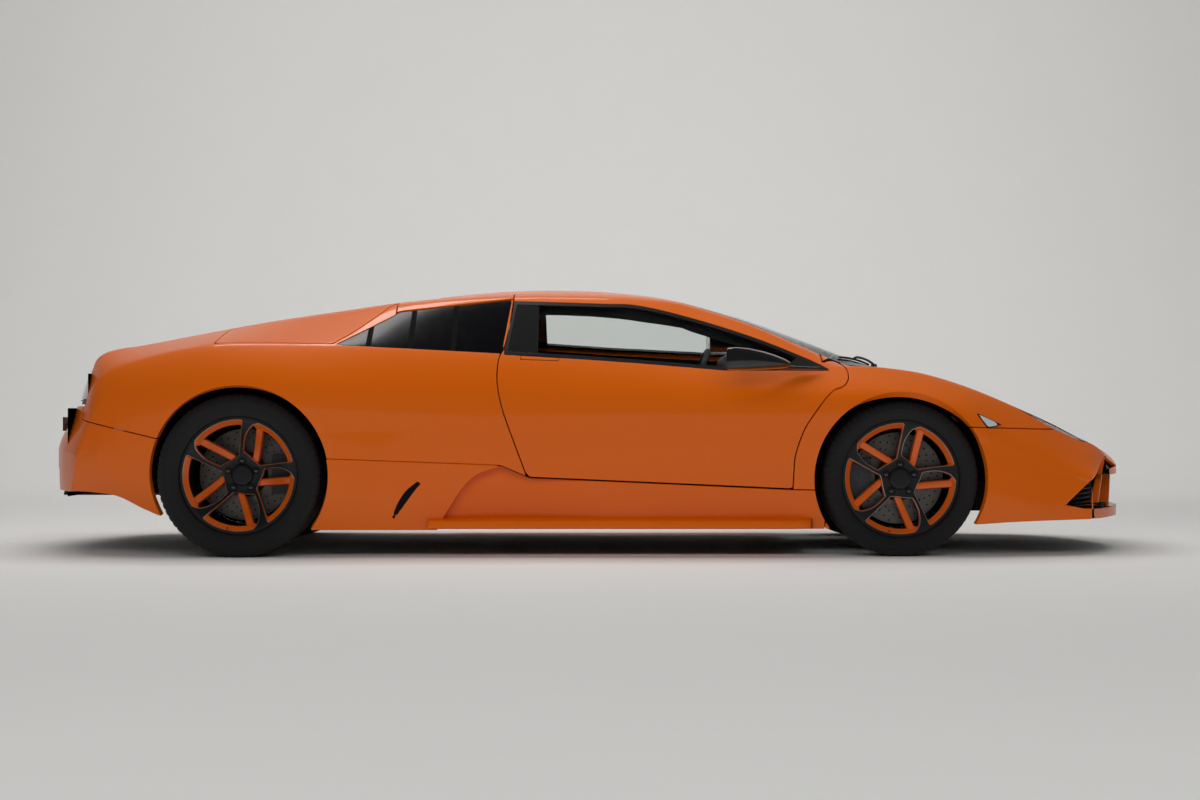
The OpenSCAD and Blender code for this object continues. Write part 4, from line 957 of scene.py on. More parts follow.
def disc_parts(width, dish):
    inner = width / 2 - dish - 132
    face = inner + 34
    parts = [(revolve([[187, inner + 2], [187.5, face - 2], [186, face], [118, face], [112, face + 1], [96, face + 1],
        [85, face + 4], [84, face + 34], [78, face + 37], [40, face + 37]], 120), "disc_steel")]
    # drilled holes drawn as flat near-black dots on the face: painted shade of the holes
    holes = []
    for ring, (r, count, turn) in enumerate(((126, 16, 0), (138, 16, 8), (150, 16, 16), (162, 16, 3), (175, 16, 11))):
        for k in range(count):
            x, y = polar(r, 360 / count * k + turn)
            holes.append(placed(revolve([[3.6, face + 0.5], [0.01, face + 0.5]], 10), Matrix.Translation((x, y, 0))))
    parts.append((joined(*holes), "recess"))
    bolts = [placed(revolve([[5, face + 37], [5, face + 42], [0.01, face + 43]], 6),
        Matrix.Translation((*polar(68, 36 * k), 0))) for k in range(10)]
    parts.append((joined(*bolts), "metal"))
    return parts


def corrected(parts):
    return [(facing(q), m) for q, m in parts]


def caliper(width, dish, turn):
    inner = width / 2 - dish - 132
    rows = []
    for a in np.linspace(-25, 25, 9):
        r0, r1 = 118, 203
        taper = 1 - 0.12 * abs(a) / 25
        rows.append([[*polar(r0, turn + a), inner + 8], [*polar(r0 + 2, turn + a), inner + 58 * taper],
            [*polar(r0 + 10, turn + a), inner + 64 * taper], [*polar(r1 - 16, turn + a), inner + 66 * taper],
            [*polar(r1 - 2, turn + a), inner + 60 * taper], [*polar(r1, turn + a), inner + 50 * taper],
            [*polar(r1, turn + a), inner - 30]])
    skin = grid_patch(np.array(rows))
    if skin.n[:, 2].mean() < 0:
        skin = turned(skin)
    ends = []
    for row in (rows[0], rows[-1]):
        c = np.mean(row, 0)
        for i in range(len(row) - 1):
            ends.append([row[i], row[i + 1], c])
    tri = np.array(ends)
    n = unit(np.cross(tri[:, 1] - tri[:, 0], tri[:, 2] - tri[:, 0]))
    mid = np.array([*polar(160, turn), inner + 20])
    n = np.where(((tri.mean(1) - mid) * n).sum(1)[:, None] < 0, -n, n)
    cap = facing(Patch(tri.reshape(-1, 3), np.repeat(n, 3, 0), np.arange(len(tri) * 3).reshape(-1, 3)))
    pads = []
    for a in (-15, 0, 15):
        pads.append(placed(revolve([[16, inner + 62], [15, inner + 67], [0.01, inner + 68]], 24),
            Matrix.Translation((*polar(160, turn + a), 0))))
    return [(facing(skin), "gloss_black"), (cap, "gloss_black"), (joined(*pads), "satin_black")]


AXLES = (("front", FRONT, 817.5, 245, 629, 34, 180), ("rear", REAR, 847.5, 335, 658, 118, 0))
for where, centre, track, width, diameter, dish, caliper_turn in AXLES:
    looks = corrected(wheel_parts(width, dish))
    rubber = tyre_patch(width, diameter)
    discs = corrected(disc_parts(width, {"front": 30, "rear": 110}[where]))
    grip = corrected(caliper(width, {"front": 30, "rear": 110}[where], caliper_turn))
    for side_name, side in (("right", -1), ("left", 1)):
        m = wheel_frame(centre, track, side)
        wheel_body = f"{where}_wheel_{side_name}"
        end = f"{where}_{side_name}"
        make("wheel_" + end, [(placed(q, m), k) for q, k in looks], wheel_body, ["wheel_" + end])
        make("tyre_" + end, [(placed(rubber, m), "rubber")], wheel_body, ["tyre_" + end])
        make("disc_" + end, [(placed(q, m), k) for q, k in discs], wheel_body, ["brake_discs_" + end])
        make("caliper_" + end, [(placed(q, m), k) for q, k in grip],
            "steer_" + side_name if where == "front" else "shell")


# ---- Nose: lip, splitter, intakes ----
def shelf(u, half_width, low, z, depth, up=1, nose=True, columns=50, drop=0.0, rise=0.0):
    """Flat surface running back from the bowed edge of the nose or tail."""
    g = []
    for y in np.linspace(-half_width, half_width, columns):
        x = end_point(u, y, 0)[0]
        sign = -1 if nose else 1
        lift = rise * max(0.0, (abs(y) - low) / (half_width - low)) ** 2 if rise else 0.0
        g.append([[x + sign * depth * k / 6, y, z + lift * (1 - k / 6) - drop * (k / 6)] for k in range(7)])
    q = grid_patch(np.array(g))
    if q.n[:, 2].mean() * up < 0:
        q = turned(q)
    return q


def slab(points_a, points_b, bevel=3.0):
    return hull(list(points_a) + list(points_b), bevel)


nose_top = cut(body(2120, 2304, CENTRE, RAIL, True, step=12), keep_out(from_top, bonnet_outline, above=380))
lip_face = end_face(2304, 560, 322, 400)
splitter_face = end_face(2304, 800, 140, 186)
splitter_top = shelf(2304, 800, 420, 186, 190, 1, rise=22)
splitter_foot = shelf(2304, 800, 0, 148, 240, -1)
lip_foot = shelf(2304, 600, 0, 322, 120, -1)
# near-black back wall of the intake: painted shade
back = end_face(2304, 790, 150, 352, push=120)
grille = []
for z in range(206, 322, 19):
    line = [[end_point(2304, y, 0)[0] - 108, y, z] for y in np.linspace(-720, 720, 41)]
    grille.append(tube(line, 3.4, 6))
for y in range(-700, 701, 28):
    x = end_point(2304, y, 0)[0] - 110
    grille.append(tube([[x, y, 182], [x, y, 330]], 2.2, 5))
struts = []
for s in (-1, 1):
    struts.append(slab([[2160, s * 455, 404], [2192, s * 440, 400], [2158, s * 500, 404], [2178, s * 500, 398]],
        [[2096, s * 575, 186], [2138, s * 560, 186], [2090, s * 618, 190], [2122, s * 620, 186]], 4))
    struts.append(slab([[2200, s * 215, 330], [2262, s * 205, 330], [2200, s * 245, 330], [2258, s * 240, 330]],
        [[2170, s * 265, 182], [2246, s * 255, 182], [2170, s * 295, 182], [2240, s * 290, 182]], 4))
# near-black wall across the middle of the intake: painted shade that closes the view through the nose
middle_shade_wall = flat([[2100, 0, 170], [2285, 0, 170], [2285, 0, 335], [2100, 0, 335]], [[0, 1, 2], [0, 2, 3]])
# near-black shelves in the side intakes: painted shade
side_shelf = []
for s in (-1, 1):
    side_shelf.append(slab([[1930, s * 640, 206], [1930, s * 790, 206], [2180, s * 520, 206], [2120, s * 700, 206]],
        [[1930, s * 640, 186], [1930, s * 800, 186], [2180, s * 520, 186], [2120, s * 716, 186]], 3))
front_plate = [(edged(nose_top, EDGE, 12)[0], "paint"), (lip_face, "paint"), (splitter_face, "paint"),
    (splitter_top, "paint"),
    (splitter_foot, "satin_black"), (lip_foot, "satin_black"), (back, "recess"),
    (joined(middle_shade_wall, turned(middle_shade_wall)), "recess")]
make("nose_lips", front_plate, "shell")
make("nose_grilles", [(joined(*grille), "satin_black")], "shell")
make("nose_struts", [(joined(*struts), "paint"), (joined(*side_shelf), "recess")], "shell")


def decal(from_u, to_u, first, last, outline, lift=0.7, kind=from_side, ring=None, step=8.0):
    """A thin marking that follows the body inside an outline, or only a ring along it."""
    tests = [lambda p: signed(outline, p[:, [0, 2]] if kind is from_side else p[:, [0, 1]])]
    if ring:
        tests.append(lambda p: ring - signed(outline, p[:, [0, 2]] if kind is from_side else p[:, [0, 1]]))
    return cut(offset(body(from_u, to_u, first, last, step=step), -lift), *tests)


# side marker lamps and headlamps
marker = decal(1520, 1900, BELT, MIDDLE, rounded([[1575, 576], [1674, 533], [1617, 523]], 8), 3.2)
marker_edge = decal(1520, 1900, BELT, MIDDLE, rounded([[1568, 582], [1684, 531], [1613, 518]], 8), 2.2)
make("side_markers", [(both(marker), "lamp_white"), (both(marker_edge), "gloss_black")], "shell")
lamp = cut(body(1580, 2230, RAIL - 12, BELT + 14, step=8), keep_in(from_top, headlamp_outline))
lamp_bed = cut(offset(body(1580, 2230, RAIL - 12, BELT + 14, step=10), 58), keep_in(from_top, headlamp_outline))
inner_lamps = []
for x, y in ((1880, -655), (1965, -600)):
    z = lamp.p[np.argmin(np.hypot(lamp.p[:, 0] - x, lamp.p[:, 1] - y)), 2] - 38
    m = Matrix.Translation((x, y, z)) @ Matrix.Rotation(math.radians(52), 4, "Y")
    inner_lamps.append(placed(revolve([[29, -40], [29, 4], [27, 7], [24, 5], [22, -2], [17, 6], [0.01, 10]], 32), m))
strip = cut(offset(lamp, 8), lambda p: 20 - signed(headlamp_outline, p[:, [0, 1]]), plane(0, 1690))
make("headlamp_lenses", [(both(edged(lamp, 1.5, 10)[0]), "lens")], "shell", ["headlamps"])
make("headlamp_insides", [(both(lamp_bed), "lamp_white"), (both(joined(*inner_lamps)), "chrome"), (both(strip), "lamp_white")],
    "shell")


# ---- Tail ----
def tail_keep(p):
    side = signed(rear_bumper_outline, p[:, [0, 2]]) - GAP - EDGE
    middle = np.minimum(np.minimum(609 - EDGE - p[:, 2], 767 - GAP - EDGE - np.abs(p[:, 1])), -2084 - p[:, 0])
    return np.maximum(side, middle)


exhaust_hole = rounded([[-150, 262], [-150, 402], [150, 402], [150, 262]], 40)
diffuser_hole = rounded([[-560, 190], [-470, 348], [470, 348], [560, 190]], 20)
tail = cut(body(-2304, -1600, CENTRE, BOTTOM, True, step=13), tail_keep, off_wheel(*REAR))
tail_face = end_face(-2304, 850, 255, 436, nose=False, rows=22, columns=120)
rear_holes = [lambda p: -signed(exhaust_hole, p[:, [1, 2]]), lambda p: -signed(diffuser_hole, p[:, [1, 2]])]
tail_face = cut(tail_face, *rear_holes)
tail_skin = cut(tail, lambda p: np.maximum(-signed(exhaust_hole, p[:, [1, 2]]), p[:, 0] + 2200),
    lambda p: np.maximum(-signed(diffuser_hole, p[:, [1, 2]]), p[:, 0] + 2200))
make("rear_bumper_skin", panel(tail_skin, 26) + [(edged(tail_face, 3, 40)[0], "paint")], "shell",
    ["rear_bumper"])
diffuser = [box_patch((-2225, -440, 232), (-1700, 440, 244), 3), box_patch((-2225, -450, 350), (-2190, 450, 362), 3)]
for y in (-420, -300, -180, 180, 300, 420):
    x0 = end_point(-2304, y, 0)[0] + 22
    diffuser.append(slab([[x0, y - 4, 236], [x0, y + 4, 236], [x0 + 27, y - 4, 344], [x0 + 27, y + 4, 344]],
        [[-1900, y - 4, 236], [-1900, y + 4, 236], [-1900, y - 4, 330], [-1900, y + 4, 330]], 1.5))
# flat near-black sheets behind the diffuser and behind the tail mesh: painted shade
dark_back = flat([[-2150, -700, 235], [-2150, 700, 235], [-2150, 700, 600], [-2150, -700, 600]], [[0, 2, 1], [0,
    3, 2]])
lamp_back = flat([[-2052, -765, 590], [-2052, 765, 590], [-2052, 765, 742], [-2052, -765, 742]], [[0, 2, 1], [0,
    3, 2]])
make("lamp_back", [(joined(lamp_back, turned(lamp_back)), "recess")], "shell")
make("diffuser", [(joined(*diffuser), "satin_black"), (dark_back, "recess"), (turned(dark_back), "recess")],
    "shell")
pipes = []
for y in (-60, 60):
    m = Matrix.Translation((0, y, 346)) @ Matrix.Rotation(math.radians(-90), 4, "Y")
    pipes.append(placed(revolve([[47, 1900], [47, 2280], [50, 2288], [51, 2292], [49, 2293], [44, 2288], [42,
        2280], [42, 2160], [0.01, 2158]], 48), m))
make("exhaust_pipes", [(joined(*pipes), "metal")], "shell", ["exhaust"])
tail_band = cut(offset(body(-2250, -1990, CENTRE, WAIST + 4, True, step=10), 14), lambda p: -2058 - p[:, 0],
    plane(2, 617), plane(2, 757, -1), lambda p: 40 + signed(spoiler_outline, p[:, [0, 1]]) * -1)
make("tail_band", [(tail_band, "satin_black")], "shell", ["tail_lamps"])
lamps, bars = [], []
wide = body(-2250, -1990, CENTRE, WAIST + 4, True, step=8)
lamp_shape = rounded([[545, 640], [520, 735], [800, 740], [868, 700], [880, 640]], 14)
side_lamp = cut(offset(wide, 3), lambda p: signed(lamp_shape, np.stack([np.abs(p[:, 1]), p[:, 2]], 1)),
    lambda p: -2056 - p[:, 0])
for z in np.arange(632, 756, 15.0):
    line = []
    for y in np.linspace(-510, 510, 41):
        us = np.linspace(-2240, -2090, 31)
        sec = sections(us)
        zz = np.array([np.interp(abs(y), s[:BELT, 0], s[:BELT, 1]) for s in sec])
        u = float(np.interp(z, zz, us))
        line.append([u + float(curve(FALL_BACK, u)) * (y / 1029) ** 2 + 10, y, z])
    bars.append(tube(line, 2.6, 6))
make("tail_lamp_lenses", [(edged(side_lamp, 2, 10)[0], "red_lens")], "shell")
make("tail_mesh", [(joined(*bars), "satin_black")], "shell")


# ---- Side skirts ----
def tuck(g):
    x = g[..., 0]
    t = np.clip((150 - x) / 500, 0, 1)
    return -(44 * t * t * (3 - 2 * t) + 4) * np.clip((400 - g[..., 2]) / 40, 0, 1)


sill = cut(body(-760, 1000, MIDDLE, BOTTOM, step=12, push=tuck), from_side(skirt_outline, -(GAP + EDGE)),
    off_wheel(*FRONT))
pod = cut(body(-1320, -300, MIDDLE - 4, BOTTOM, step=10), keep_in(from_side, skirt_outline),
    from_side(scoop_outline, -2), off_wheel(*REAR))
ledge_x = np.concatenate([[-640], np.linspace(-630, 880, 30), [900, 905]])
ledge = []
for x in ledge_x:
    w = 30 * np.clip((905 - x) / 60, 0, 1) + 78
    s = 1 if x < 905 else 0.7
    ledge.append([[x, -860, 165], [x, -880 - 0.5 * w * s, 152], [x, -880 - w * s * 0.9, 147], [x, -880 - w * s, 142],
        [x, -880 - w * s, 120], [x, -876 - w * s, 114], [x, -850, 112]])
ledge = grid_patch(np.array(ledge))
if ledge.n[:, 2].mean() < 0 and ledge.n[: 7 * 4, 2].sum() < 0:
    ledge = turned(ledge)
ledge_end = flat([[905, -860, 165], [905, -860, 112], [905, -955, 114], [905, -955, 147]], [[0, 1, 2], [0, 2, 3]])
# near-black slit drawn on the skirt's surface: painted shade
slit = cut(offset(body(-900, -560, MIDDLE, BOTTOM, step=6), -0.9), lambda p: signed(
    smooth_line([[-664, 304], [-700, 262], [-745, 200], [-782, 150]]) + smooth_line([[-790, 150], [-770, 205],
        [-735, 262], [-686, 304]]),
    p[:, [0, 2]]))
# flat near-black sheet across the skirt at x -640: painted shade
shade = flat([[-640, -820, 110], [-640, -820, 372], [-640, -905, 372], [-640, -905, 110]], [[0, 1, 2], [0, 2, 3]])
shade2 = turned(shade)
skirt = [(both(edged(sill, EDGE, 10)[0]), "paint"), (both(edged(pod, 5, 52)[0]), "paint"), (both(facing(ledge)),
    "paint"),
    (both(ledge_end), "paint"), (both(turned(ledge_end)), "paint"), (both(slit), "recess"), (both(joined(shade,
        shade2)), "recess")]
make("skirts", skirt, "shell", ["side_skirts"])

# ---- Door handles, mirrors, wiper ----
handle = decal(-330, -80, BELT - 4, WAIST, [[-276, 817], [-117, 811], [-117, 792], [-276, 797]], 0.5, ring=2.2,
    step=5)
for side, flip in (("right", False), ("left", True)):
    make("door_handle_" + side, [((left if flip else (lambda q: q))(handle), "recess")], side + "_door")


def loft(rows, closed=True):
    g = np.array(rows, float)
    if closed:
        g = np.concatenate([g, g[:, :1]], 1)
    q = grid_patch(g)
    n = q.n.reshape(g.shape).copy()
    if closed:
        n[:, 0] = n[:, -1] = unit(n[:, 0] + n[:, -1])
    q.n = n.reshape(-1, 3)
    centre = np.repeat(g.mean(1), g.shape[1], 0)
    if ((q.p - centre) * q.n).sum() < 0:
        q.n = -q.n
    return facing(q)


def cap(row, outward):
    row = np.array(row, float)
    c = row.mean(0)
    tri = np.array([[row[i - 1], row[i], c] for i in range(len(row))]).reshape(-1, 3)
    n = np.repeat(unit(np.array([outward], float)), len(tri), 0)
    return facing(Patch(tri, n, np.arange(len(tri)).reshape(-1, 3)))


def squircle(x, y0, y1, z0, z1, power=0.5, lean=0.0, steps=28):
    out = []
    for a in np.linspace(0, 2 * np.pi, steps, endpoint=False):
        c, s = math.cos(a), math.sin(a)
        yy = (y0 + y1) / 2 + (y1 - y0) / 2 * math.copysign(abs(c) ** power, c)
        zz = (z0 + z1) / 2 + (z1 - z0) / 2 * math.copysign(abs(s) ** power, s)
        out.append([x + lean * (yy - (y0 + y1) / 2), yy, zz])
    return out


head_rows = [squircle(x, -y1, -y0, z0, z1, p, 0.12) for x, y0, y1, z0, z1, p in (
    (562, 950, 1082, 756, 836, 0.4), (566, 944, 1088, 751, 841, 0.4), (600, 938, 1094, 750, 843, 0.45),
    (650, 930, 1090, 751, 838, 0.5), (705, 925, 1076, 754, 827, 0.6), (755, 925, 1055, 757, 812, 0.7),
    (795, 930, 1020, 761, 796, 0.8), (815, 950, 985, 768, 784, 1.0))]
mirror = [(loft(head_rows), "gloss_black"), (cap(head_rows[0], (-1, 0, 0)), "satin_black"), (cap(head_rows[-1],
    (1, 0, 0)), "gloss_black")]
glass_rows = squircle(560.5, -1076, -956, 762, 830, 0.4, 0.12)
mirror.append((cap(glass_rows, (-1, 0, 0)), "chrome"))
arm = loft([[[x - w, y, z], [x - w * 0.6, y, z + t], [x + w * 0.6, y, z + t * 0.8], [x + w, y, z], [x + w * 0.6,
    y, z - t * 0.6],
    [x - w * 0.6, y, z - t * 0.6]] for x, y, z, w, t in (
    (735, -960, 764, 40, 12), (765, -935, 764, 44, 11), (830, -895, 762, 50, 9),
    (880, -868, 761, 52, 8), (915, -852, 761, 50, 8))])
mirror.append((arm, "gloss_black"))
corner = cut(offset(body(780, 1060, BELT - 24, BELT + 6, step=8), 2.2), lambda p: signed([[800, 756], [985, 754],
    [985, 764], [905, 803], [868, 818]], p[:, [0, 2]]))
for side, flip in (("right", False), ("left", True)):
    f = left if flip else (lambda q: q)
    make("mirror_head_" + side, [(f(q), m) for q, m in mirror] + [(f(corner), "gloss_black")], side + "_door",
        ["mirror_" + side])


def skin_height(x, y):
    us = np.linspace(x - 30, x + 30, 5)
    z = [np.interp(abs(y), s[:BELT, 0], s[:BELT, 1]) for s in sections(us)]
    return float(np.interp(x, us, z))


arm_line = [[x, y, skin_height(x, y) + h] for x, y, h in ((1262, -6, 16), (1245, -60, 22), (1205, -170, 24),
    (1160, -290, 20), (1140, -340, 12))]
blade = [[x, y, skin_height(x, y) + 7] for x, y in ((1225, -120), (1190, -220), (1148, -330), (1100, -440),
    (1055, -540))]
wiper = [(tube(smooth_line(arm_line, 4), 5.5, 8), "satin_black"), (tube(smooth_line(blade, 4), 4.5, 6),
    "matte_black"),
    (placed(revolve([[14, -30], [14, 12], [11, 17], [0.01, 18]], 24), Matrix.Translation((1262, -6,
        skin_height(1262, 0) + 6))), "metal")]
make("wiper_arm", wiper, "shell", ["wiper"])


# ---- Inner walls of the wheel wells ----
def well_wall(x, z, r0, r1, y):
    g = np.array([[[x + r * math.cos(a), y, z + r * math.sin(a)] for a in np.linspace(math.radians(8),
        math.radians(172), 49)]
        for r in (r0, r1)])
    q = grid_patch(g)
    return joined(q, turned(q))


wells = [well_wall(FRONT[0], FRONT[1], 120, FRONT[2] + 6, s * 535) for s in (-1, 1)]
wells += [well_wall(REAR[0], REAR[1], 130, REAR[2] + 6, s * 612) for s in (-1, 1)]
make("wheel_well_walls", [(joined(*wells), "matte_black")], "shell")


# ---- Cabin ----
def cushion(centre, size, power=0.42, matrix=None, channels=(), channel_axis=0, depth=7.0, crown=0.0, waist=0.05,
        columns=56, rows=32):
    """Stuffed pad: a crowned closed form, its sides pulled in between the corners, with sewn channels on top."""
    def s(v, e):
        return np.sign(v) * np.abs(v) ** e
    lat = np.linspace(-math.pi / 2, math.pi / 2, rows)[:, None]
    lon = np.linspace(-math.pi, math.pi, columns + 1)[None, :]
    half = np.array(size, float) / 2
    x = half[0] * s(np.cos(lat), power) * s(np.cos(lon), power)
    y = half[1] * s(np.cos(lat), power) * s(np.sin(lon), power)
    z = half[2] * s(np.sin(lat), 0.75) * np.ones_like(lon)
    a, b = np.clip(x / half[0], -1, 1), np.clip(y / half[1], -1, 1)
    x = x * (1 - waist * (1 - b * b))
    y = y * (1 - waist * (1 - a * a))
    top = np.clip(z / half[2], 0, 1)
    z = z + crown * top * (1 - a * a) * (1 - b * b)
    along = (x, y)[channel_axis]
    for c in channels:
        z = z - top * depth * np.exp(-((along - c) / 9.0) ** 2)
    g = np.stack([x, y, z], -1)
    patch = grid_patch(g)
    n = patch.n.reshape(g.shape).copy()
    n[:, 0] = n[:, -1] = unit(n[:, 0] + n[:, -1])
    n[0], n[-1] = [0, 0, -1], [0, 0, 1]
    patch.n = n.reshape(-1, 3)
    if (patch.p * patch.n).sum() < 0:
        patch.n = -patch.n
    patch = facing(patch)
    m = (matrix or Matrix.Identity(4)) @ Matrix.Translation(centre)
    return placed(patch, m)


def welt(centre, size, matrix, lift, power=0.42, radius=2.2):
    """Piping round a pad, along its seam."""
    a = np.linspace(0, 2 * np.pi, 72, endpoint=False)
    f = lambda v: np.sign(v) * np.abs(v) ** power
    line = np.stack([size[0] / 2 * f(np.cos(a)) * (1 - 0.05 * (1 - f(np.sin(a)) ** 2)),
        size[1] / 2 * f(np.sin(a)) * (1 - 0.05 * (1 - f(np.cos(a)) ** 2)), np.full(72, lift)], 1)
    return placed(tube(line, radius, 8, True), (matrix or Matrix.Identity(4)) @ Matrix.Translation(centre))


def pad(name, slot, *pieces):
    o = make(name, list(pieces), "shell")
    return o


for side_name, side in (("right", -1), ("left", 1)):
    seat = Matrix.Translation((60, side * 400, 158))
    back = seat @ Matrix.Translation((-228, 0, 60)) @ Matrix.Rotation(math.radians(-18), 4, "Y") @ Matrix(
        ((0, 0, 1, 0), (0, 1, 0, 0), (-1, 0, 0, 0), (0, 0, 0, 1)))
    # back: local -x is up, z faces forwards
    shell = [(cushion((26, 0, 36), (500, 466, 70), 0.2, seat), "satin_black"),
        (cushion((-272, 0, 8), (540, 470, 40), 0.25, back), "gloss_black")]
    make("seat_shell_" + side_name, shell, "shell", ["seats"] if side < 0 else ())
    pad("seat_cushion_" + side_name, "black_leather",
        (cushion((40, 0, 92), (440, 270, 90), 0.4, seat, (-150, -75, 0, 75), 0, 8, 6), "suede"),
        (welt((40, 0, 92), (446, 274, 0), seat, 10), "stitch"))
    pad("seat_bolsters_" + side_name, "black_leather",
        (cushion((36, -182, 92), (470, 92, 112), 0.35, seat, crown=6), "leather"),
        (cushion((36, 182, 92), (470, 92, 112), 0.35, seat, crown=6), "leather"),
        (cushion((242, 0, 82), (64, 440, 100), 0.45, seat, crown=4), "leather"))
    pad("seat_back_" + side_name, "black_leather",
        (cushion((-235, 0, 54), (330, 262, 66), 0.38, back, (-110, -55, 0, 55, 110), 0, 8, 5), "suede"),
        (welt((-235, 0, 54), (336, 268, 0), back, 8), "stitch"))
    pad("seat_back_bolsters_" + side_name, "black_leather",
        (cushion((-215, -184, 58), (400, 92, 88), 0.35, back, crown=5), "leather"),
        (cushion((-215, 184, 58), (400, 92, 88), 0.35, back, crown=5), "leather"),
        (cushion((-432, 0, 54), (84, 330, 70), 0.4, back, crown=4), "leather"))
    pad("seat_head_pad_" + side_name, "black_leather",
        (cushion((-510, 0, 54), (80, 250, 66), 0.42, back, crown=6), "leather"),
        (welt((-510, 0, 54), (84, 256, 0), back, 6), "stitch"))
    # belt from the bulkhead over the shoulder to the side of the seat
    outer = side * 208
    rows = []
    for x, y, z in smooth_line([(-370, side * 400 + outer, 760), (-300, side * 400 + outer * 0.98, 735),
            (-262, side * 400 + outer * 0.95, 640), (-190, side * 400 + outer * 0.97, 420), (-165,
                side * 400 + outer * 1.12, 300),
            (-160, side * 400 + outer * 1.16, 215)], 6):
        rows.append([[x - 1, y - 22, z], [x + 2, y - 20, z + 1], [x + 2, y + 20, z + 1], [x - 1, y + 22, z]])
    strap = grid_patch(np.array(rows))
    make("belt_" + side_name, [(strap, "webbing"), (turned(offset(strap, -1.6)), "webbing"),
        (box_patch((-176, side * 400 + outer * 1.16 - 26, 185), (-150, side * 400 + outer * 1.16 + 26, 240), 5),
            "satin_black")],
        "shell")

# dashboard: a lofted skin with a hood over the driver's instruments
profile = np.array(smooth_line([(892, 478), (760, 480), (706, 486), (672, 540), (636, 600), (606, 664), (600,
    690), (606, 708),
    (622, 722), (652, 736), (720, 744), (800, 748), (892, 748)], 5))
ys = np.linspace(-688, 688, 97)
rows = []
for y in ys:
    q = profile.copy()
    edge = np.clip((np.abs(y) - 600) / 88, 0, 1)
    q[:, 0] += 40 * edge ** 2
    hood = np.exp(-((y - 400) / 118.0) ** 4)
    raise_by = 46 * hood * np.exp(-((q[:, 0] - 655) / 75) ** 2) * (q[:, 1] > 690)
    q[:, 1] += raise_by
    q[:, 0] -= 26 * hood * np.exp(-((q[:, 1] - 745) / 40) ** 2) * (q[:, 0] < 720)
    middle = np.exp(-(y / 135.0) ** 4)
    q[:, 0] -= 22 * middle * np.exp(-((q[:, 1] - 610) / 90) ** 2)
    rows.append(np.stack([q[:, 0], np.full(len(q), y), q[:, 1]], 1))
dash = grid_patch(np.array(rows))
if (dash.n[:, 2] * (dash.p[:, 2] - 600)).sum() < 0:
    dash = turned(dash)
dash_ends = joined(*[facing(cap(row, (0, s, 0))) for row, s in ((rows[0], -1), (rows[-1], 1))])
seam = [[r[np.argmin(np.abs(r[:, 2] - 716) + (r[:, 0] > 660) * 900)][0] - 1.5, y, 717] for r, y in zip(rows, ys)]
dash_parts = [(dash, "leather"), (dash_ends, "leather"), (tube(np.array(seam), 1.3, 6), "stitch")]


def face_frame(x, y, z):
    """Frame whose z looks back at the seats from the face of the dashboard."""
    return Matrix.Translation((x, y, z)) @ Matrix.Rotation(math.radians(-90), 4, "Y")


for y, r in ((345, 36), (420, 44), (492, 30)):
    m = face_frame(598, y, 700)
    dash_parts.append((placed(revolve([[r + 5, -14], [r + 5, 4], [r + 3, 6], [r, 4], [r, 0]], 48), m), "metal"))
    dash_parts.append((placed(revolve([[r, 0.5], [0.01, 1.5]], 48), m), "gloss_black"))
    ticks = []
    for k in range(21):
        a = -130 + 13 * k
        ticks.append(placed(box_patch((r - 8, -0.7, 1), (r - 3, 0.7, 2.2), 0),
            m @ Matrix.Rotation(math.radians(a + 180), 4, "Z")))
    ticks.append(placed(box_patch((-6, -1.1, 2.4), (r - 7, 1.1, 3.6), 0),
        m @ Matrix.Rotation(math.radians(70 + y), 4, "Z")))
    dash_parts.append((joined(*ticks), "lamp_white"))
for y in (-600, -70, 70, 606):
    m = face_frame(592 if abs(y) < 100 else 604, y, 668)
    dash_parts.append((placed(revolve([[40, -18], [40, 3], [37, 6], [33, 3], [33, -6]], 40), m), "satin_black"))
    # near-black disc inside each vent: painted shade
    dash_parts.append((placed(revolve([[33, -6], [0.01, -6]], 40), m), "recess"))
    dash_parts.append((joined(*[placed(box_patch((-32 + abs(k) * 2, k * 11 - 1, -5), (32 - abs(k) * 2,
        k * 11 + 1, 1), 0.5), m)
        for k in (-2, -1, 0, 1, 2)]), "satin_black"))
screen_m = face_frame(590, 0, 590)
dash_parts.append((placed(box_patch((-46, -88, -30), (46, 88, 5), 5), screen_m), "satin_black"))
dash_parts.append((placed(box_patch((-38, -78, 4), (38, 78, 7), 1.5), screen_m), "gloss_black"))
for k in range(4):
    dash_parts.append((placed(revolve([[11, 0], [11, 14], [9, 17], [0.01, 18]], 24), face_frame(600,
        -54 + 36 * k, 520)), "metal"))
glove = np.array([[620, -230, 655], [652, -230, 570], [652, -560, 570], [620, -560, 655]], float) - [9, 0, 0]
dash_parts.append((tube(np.array(smooth_line(list(glove) + [glove[0]], 1)[:-1]), 1.6, 6, True), "recess"))
make("dashboard_skin", dash_parts, "shell", ["dashboard"])

# console over the tunnel, gear lever and gate
rows = []
for x, half, top in ((-415, 118, 392), (-300, 124, 396), (-150, 126, 372), (0, 124, 362), (200, 122, 372), (400,
    120, 408),
        (540, 118, 470), (640, 116, 545)):
    rows.append([[x, -half - 14, 150], [x, -half - 6, 300], [x, -half, top - 22], [x, -half + 8, top - 6], [x,
        -half + 24, top],
        [x, 0, top + 5], [x, half - 24, top], [x, half - 8, top - 6], [x, half, top - 22],
        [x, half + 6, 300], [x, half + 14, 150]])
knots = np.array(rows, float)
xs = np.linspace(-415, 640, 43)
g = np.stack([[[x, np.interp(x, knots[:, j, 0], knots[:, j, 1]), np.interp(x, knots[:, j, 0], knots[:, j, 2])]
    for j in range(knots.shape[1])] for x in xs])
console = grid_patch(g)
if console.n[:, 2].mean() < 0:
    console = turned(console)
gate = box_patch((150, -58, 374), (290, 58, 385), 4)
